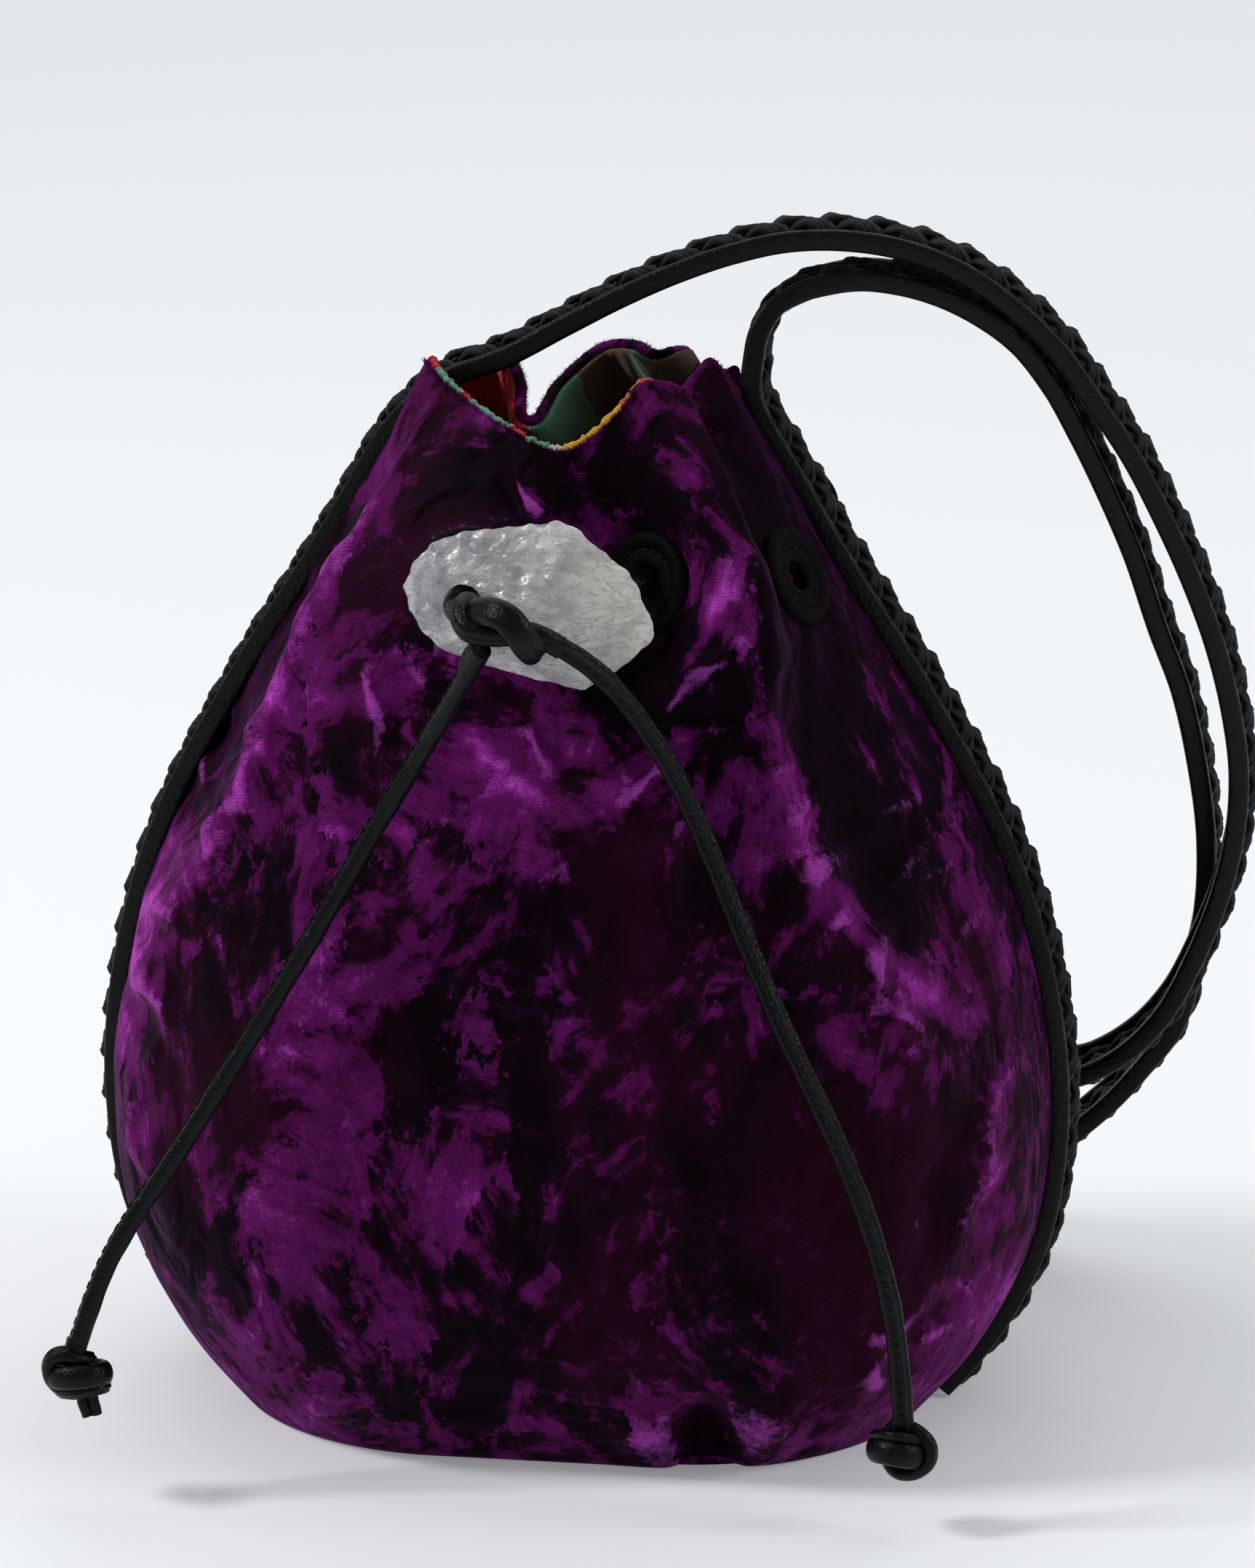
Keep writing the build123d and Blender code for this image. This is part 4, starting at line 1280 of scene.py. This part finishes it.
def make_tail(name, route, grooves, seam, material, thread):
    """A sewn cord with its grooves and its line of stitches, and the line it lies on."""
    line = route_points(name + "_route", route)
    path = even(line, TAIL_SPACING)
    normals = carried_normals(path, (0.1, -1, 0.1))
    run = np.linspace(0, 1, len(path))
    swell = 1 + 0.03 * np.sin(run * 61) + 0.02 * np.sin(run * 147 + 1)
    tail = make_mesh(name + "_cord", *sweep(path, normals, piping(grooves)[None] * swell[:, None, None]))
    finish_piece(tail, material, "cord_leather", "drawstring", name)
    stitches = Parts()
    across = np.cross(tangents(path), normals)
    turn = math.radians(seam)
    sewn_line = path + (normals * math.cos(turn) + across * math.sin(turn) * CORD_FLATNESS) * SEAM_HEIGHT
    for i in range(6, len(path) - 4, 4):
        capsule(stitches, sewn_line[i], sewn_line[i + 2], SEAM_RADIUS, 5)
    sewn = finish_piece(stitches.make(name + "_stitches"), thread, "cord_leather", "drawstring")
    return tail, sewn, line


def outward_normals(path, centre):
    """Normals that point away from a middle, square to the path."""
    return squared(path - np.asarray(centre, float), tangents(path))


def lobes(width, thickness, count):
    """A flat band's section made of side-by-side lobes: pairs of thickness and width."""
    across = np.sin(turns(LOBE_SIDES)) * width / 2
    up = np.cos(turns(LOBE_SIDES)) * thickness / 2
    if count > 1:
        valley = np.abs(np.sin(math.pi * count * (across / width + 0.5)))
        up = up * (0.80 + 0.20 * valley ** 0.6)
    return np.stack([up, across], 1)


def knot_band(parts, points, centre, width, thickness, count):
    path = smooth_path(points, KNOT_SPACING)
    parts.add(*sweep(path, outward_normals(path, centre), lobes(width, thickness, count)))


KNOT_SPACING, LOBE_SIDES = 0.45, 36
KNOT_WIDTH, KNOT_THICKNESS = 4.6, 4.5   # of a cord where it enters the toggle's knot
TOGGLE_KNOT = (-3.0, -93.5, 199.5)      # the middle of the knot, from which its cords face away
HOLE_CORD = [
    (-12.2, -76, 200.5), (-12.3, -84, 202.0), (-12.4, -89.5, 203.4), (-12.7, -93.6, 203.0),
    (-12.2, -96.6, 201.2), (-10.4, -98.4, 199.5), (-7.6, -98.8, 198.9), (-4.6, -98.2, 198.6),
    (-1.2, -97.0, 198.6), (2.2, -96.4, 198.9), (5.4, -95.6, 197.6), (8.6, -93.9, 195.4),
]
WRAP_CORD = [
    (-16.2, -76, 200), (-15.6, -84, 200.4), (-13.4, -90, 201), (-10.2, -94.6, 202.6),
    (-7.2, -98.4, 203.8), (-4.0, -101.4, 204.2), (-1.2, -102.6, 203.2), (1.0, -102.8, 200.6),
    (2.6, -101.4, 197.6), (3.8, -98.0, 195.3), (3.6, -94.4, 195.0), (0.8, -92.2, 196.4),
    (-3.4, -92.0, 198.0), (-7.4, -92.8, 197.8), (-9.6, -93.6, 194.6), (-11.8, -92.6, 189.6),
]
# The two cords of the toggle's knot, and how much wider and thinner each is pressed in it.
KNOT_CORDS = ((HOLE_CORD, 0.4, 0.4), (WRAP_CORD, 1.9, 0.9))
# Each end knot's middle, and its bands: the route, the width, the thickness and the lobes.
END_KNOTS = {
    "end_knot_left": ((-98.3, -98.2, 29.0), [
        ([(-97.9, -98.3, 37.5), (-98.6, -99, 34.0), (-98.8, -98, 30.0)], 5.0, 4.6, 1),
        ([(-95.0, -97.5, 32.6), (-97.4, -100, 34.0), (-99.9, -101, 35.0), (-102.4, -101, 34.4),
          (-104.0, -100.5, 32.1), (-103.9, -100, 29.2), (-102.4, -99, 26.6), (-100.2, -97, 24.8),
          (-97.5, -95.5, 24.6)], 4.4, 3.2, 2),
        ([(-101.6, -94.5, 29.5), (-104.0, -97, 29.2), (-102.6, -101, 29.6), (-98.0, -103.2, 30.4),
          (-94.2, -102.6, 30.8), (-92.2, -99.6, 30.2), (-92.6, -96, 29.4), (-95.5, -94, 29)],
         5.4, 3.4, 1),
        ([(-101.0, -95, 25.6), (-101.9, -98, 25.2), (-99.4, -101, 26.1), (-95.7, -102.2, 27.0),
          (-92.8, -101, 27.4), (-92.2, -98, 26.8), (-94.0, -95.5, 26.4)], 3.0, 3.0, 2),
        ([(-97.2, -99.2, 25.5), (-96.9, -99.5, 23.6), (-96.3, -99.5, 21.9), (-95.8, -99.5, 20.3)],
         2.5, 2.6, 1),
        ([(-94.9, -98.8, 25.5), (-94.7, -99, 23.8), (-94.3, -99, 22.2), (-94.0, -99, 20.6)],
         2.5, 2.6, 1),
    ]),
    "end_knot_right": ((81.6, -90.0, 18.0), [
        ([(82.3, -90, 27.0), (81.6, -90, 23.5), (81.2, -89.5, 19.5)], 4.6, 4.4, 2),
        ([(79.4, -87.5, 21.8), (81.2, -88.2, 23.0), (83.8, -89.4, 23.2), (86.2, -90.4, 22.2),
          (88.0, -91.2, 20.4), (88.4, -91.6, 18.0), (87.6, -91.6, 15.8), (85.8, -91.4, 14.2),
          (83.6, -91, 13.4), (81.4, -90.2, 13.4), (79.6, -88.6, 14.6), (79.2, -86.8, 16.5)],
         3.9, 3.4, 2),
        ([(79.5, -86.5, 17.5), (76.2, -88.2, 17.9), (76.6, -91.6, 18.7), (79.8, -94.6, 19.4),
          (83.0, -94.8, 19.0), (85.4, -92.6, 18.0), (85.6, -89.4, 17.4), (83.5, -87, 17.4)],
         5.6, 3.6, 1),
        ([(79.6, -86.8, 20.8), (76.6, -88.6, 20.9), (77.6, -91.6, 22.2), (80.8, -94.0, 22.9),
          (84.0, -93.2, 22.1), (85.6, -90.6, 20.6), (84.5, -88, 20.0)], 2.4, 3.0, 1),
    ]),
}


def make_knots(material):
    knot = Parts()
    for points, wider, thinner in KNOT_CORDS:
        path = smooth_path(points, KNOT_SPACING)
        tied = smoothstep(-86, -95, path[:, 1])
        widths, thicks = KNOT_WIDTH + tied * wider, KNOT_THICKNESS - tied * thinner
        outline = np.stack([lobes(1, 1, 2) * (t, w) for t, w in zip(thicks, widths)])
        knot.add(*sweep(path, outward_normals(path, TOGGLE_KNOT), outline))
    finish_piece(knot.make("toggle_knot_cords"), material, "cord_leather", "drawstring", "toggle_knot")
    made = {}
    for name, (centre, bands) in END_KNOTS.items():
        parts = Parts()
        for points, width, thickness, count in bands:
            knot_band(parts, points, centre, width, thickness, count)
        made[name] = finish_piece(parts.make(name + "_cords"), material, "cord_leather", "drawstring", name)
    return made


# Each tail's name, route, grooves, the angle of its seam, its length in metres and its end knot.
TAILS = [
    ("tail_left", TAIL_LEFT, [(78, 0.85, 14), (112, 0.45, 11)], 96, 0.188, "end_knot_left"),
    ("tail_right", TAIL_RIGHT, [(28, 0.90, 14), (-30, 0.70, 13)], 28, 0.208, "end_knot_right"),
]
LEGS = {
    "drawstring_leg_left": [
        (-18.5, -34, 199.6), (-18.0, -46, 199.8), (-17.4, -58, 200), (-16.6, -68, 200), (-16.3, -78, 200),
    ],
    "drawstring_leg_right": [
        (20.5, -27, 199), (20.5, -33, 199), (20.5, -39, 199), (20.4, -45, 199), (19.0, -50, 199.2),
        (14.5, -54, 199.5), (7.0, -56, 199.8), (-3.0, -57.4, 200), (-9.4, -60, 200.2),
        (-12.0, -66.5, 200.4), (-12.2, -78, 200.6),
    ],
}


def plain_cord(name, path, material, body, node):
    section = sweep(path, carried_normals(path, (0, 0, 1)), piping(LEG_GROOVES))
    finish_piece(make_mesh(name, *section), material, "cord_leather", body, node)


def make_cords(material, thread, front, back, places):
    tails = [
        make_tail(name, route, grooves, seam, material, thread)
        for name, route, grooves, seam, _, _ in TAILS
    ]
    knots = make_knots(material)
    for name, points in LEGS.items():
        plain_cord(name + "_cord", smooth_path(points, LEG_SPACING), material, "drawstring", name)
    make_inner_drawstring(material, front, back, places)


def inside_line(cloth, low, high, depth):
    """The row of the cloth at the eyelets' height between two shares, moved inwards."""
    row = int(np.argmin(np.abs(cloth.levels - EYELET_LEVEL)))
    points = cloth.points[row] - cloth.normals()[row] * depth
    return points[(cloth.u >= low) & (cloth.u <= high)]


def make_inner_drawstring(material, front, back, places):
    """The drawstring inside the neck: from one front eyelet round the back to the other, where it
    crosses on the outside between two eyelets."""
    share = {name: cloth.u[column] for name, (cloth, column) in places.items()}
    inside, outside, gap = 7.0, -5.6, 0.05
    points = np.concatenate([
        inside_line(front, share["front_eyelet_3"] + gap, 1.0, inside),
        inside_line(back, 0.0, share["back_eyelet_3"] - gap, inside),
        inside_line(back, share["back_eyelet_3"], share["back_eyelet_2"], outside),
        inside_line(back, share["back_eyelet_2"] + gap, 1.0, inside),
        inside_line(front, 0.0, share["front_eyelet_2"] - gap, inside),
    ])
    points[:, 2] = EYELET_LEVEL
    path = blurred(even(points, 1.0), 9, axes=(0,))
    plain_cord("drawstring_inner_cord", path, material, "bag", "drawstring_inner")


# ------------------------------------------------------------------ everything

VELVET_THICKNESS = 2.0
LINING_DEPTH, LINING_THICKNESS = 2.3, 1.0
LINING_FROM, LINING_HOLE = 3, 1.6   # its first row and the radius of its holes
LINING_SMOOTHING = 3
LINING_SHOWS = 0.70                 # the share of the front's lip where the lining's edge is seen
ROLL_STARTS = 0.66                  # and where the velvet's roll takes over
RIM_SIDES, RIM_RADIUS, ROLL_RADIUS = 10, 1.15, 1.25
HAIRS, HAIR_RADIUS = 4200, 0.16


def make_rim(name, lip, inwards, material, slot, radius, lumpy, uv_x=None):
    """A soft bead along the mouth's edge: the lining's overlocked yarn, or the velvet's roll."""
    draw = np.random.default_rng(3)
    knots = np.arange(0, len(lip), 2.0)
    lumps = 1 + lumpy * np.interp(np.arange(len(lip)), knots, draw.normal(size=len(knots)))
    normals = squared(np.array([0, 0, 1.0]), tangents(lip))
    outline = circle(radius, RIM_SIDES)[None] * lumps[:, None, None]
    points, faces = sweep(lip + inwards, normals, outline, closed_ends=False)
    uv = None
    if uv_x is not None:
        uv = np.stack([np.repeat(uv_x, RIM_SIDES), np.ones(len(points))], 1)
    return finish_piece(make_mesh(name, points, faces, uv), material, slot, "bag")


def make_fuzz(name, cloth, material):
    """The velvet's pile standing out along the mouth: short tapered hairs on the panel's edge."""
    draw = np.random.default_rng(4)
    lip, out = cloth.points[-1], cloth.normals()[-1]
    hairs = Parts()
    for _ in range(HAIRS):
        place = draw.uniform(4, len(lip) - 5)
        index, share = int(place), place % 1
        root = lip[index] * (1 - share) + lip[index + 1] * share
        root = root - out[index] * draw.uniform(0, 1.6) - (0, 0, 0.4)
        lean = unit(out[index] * draw.normal(0.25, 0.5) + (0, 0, 1) + draw.normal(size=3) * 0.35)
        tip = root + lean * draw.uniform(0.9, 1.9)
        side = unit(np.cross(lean, draw.normal(size=3))) * HAIR_RADIUS
        other = np.cross(lean, side)
        foot = np.array([root + side, root - side / 2 + other * 0.87, root - side / 2 - other * 0.87])
        hairs.add(np.concatenate([foot, tip[None]]), [(0, 1, 3), (1, 2, 3), (2, 0, 3), (2, 1, 0)])
    finish_piece(hairs.make(name), material, "velvet", "bag")


def make_pouch(velvet, lining, eyelet_leather, thread):
    cloths = {panel: shape_panel(*shape) for panel, (shape, _, _) in PANELS.items()}
    stitches = Parts()
    rings, places, holes = [], {}, {"front": [], "back": []}
    for name, panel, place in EYELETS:
        cloth = cloths[panel]
        centre, normal = eyelet_place(cloth, place)
        flatten(cloth, centre, normal, EYELET_RADIUS)
        rings.append((name, centre, normal))
        holes[panel].append(centre)
        places[name] = (cloth, cloth.nearest(centre)[1])
    for name, centre, normal in rings:
        make_eyelet(name, centre, normal, eyelet_leather, stitches)
    finish_piece(stitches.make("eyelet_stitches"), thread, "eyelet_leather", "bag")
    for panel, (_, pile, (first, span)) in PANELS.items():
        cloth = cloths[panel]
        shell = sheet_piece(panel + "_velvet_cloth", cloth, 0.0, VELVET_THICKNESS, holes[panel], pile=pile)
        finish_piece(shell, velvet, "velvet", "bag", panel + "_velvet")
        cover = sheet_piece(
            panel + "_lining_cloth", cloth, -LINING_DEPTH, LINING_THICKNESS, holes[panel],
            rows_from=LINING_FROM, hole_radius=LINING_HOLE,
        )
        layer = cover.data.uv_layers.active.data
        uv = np.zeros(len(layer) * 2)
        layer.foreach_get("uv", uv)
        uv[::2] = first + span * uv[::2]
        layer.foreach_set("uv", uv)
        finish_piece(cover, lining, "lining", "bag", panel + "_lining")
        lip, out = cloth.points[-1], cloth.normals()[-1]
        rolled = cloth.u >= 0
        if panel == "front":
            # the lining shows along the left and the middle of the front's lip, the velvet beyond
            seen = cloth.u < LINING_SHOWS
            shift = (0, 0, 0.5) - out[seen] * 1.9
            uv_x = first + span * cloth.u[seen]
            make_rim("front_rim", lip[seen], shift, lining, "lining", RIM_RADIUS, 0.20, uv_x)
            rolled = cloth.u > ROLL_STARTS
        make_rim(panel + "_velvet_roll", lip[rolled], -out[rolled], velvet, "velvet", ROLL_RADIUS, 0.05)
        make_fuzz(panel + "_pile", cloth, velvet)
    return cloths["front"], cloths["back"], places


def recolour(node, material):
    """Give a node of the structure its material."""
    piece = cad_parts[node]
    piece.data.materials.clear()
    piece.data.materials.append(material)


make_camera()
make_stage()
velvet = velvet_material()
lining = lining_material()
# name, colour, roughness, grain, scuffs, shine
strap_leather = leather_material("strap_leather", (0.0050, 0.0036, 0.0029), 0.38, 900, 0.12, 0.15)
eyelet_leather = leather_material("eyelet_leather", (0.0012, 0.0012, 0.0015), 0.70, 1100, 0.08, 0.07)
cord_leather = leather_material("cord_leather", (0.0028, 0.0031, 0.0036), 0.34, 1300, 0.14, 0.14)
thread = thread_material()
front, back, places = make_pouch(velvet, lining, eyelet_leather, thread)
make_bands(strap_leather, cord_material())
make_stone(quartz_material())
make_cords(cord_leather, thread, front, back, places)
recolour("base_velvet", velvet)
recolour("base_lining", lining)
recolour("base_board", leather_material("base_card", (0.10, 0.085, 0.07), 0.8, 400, 0.3, 0.2))
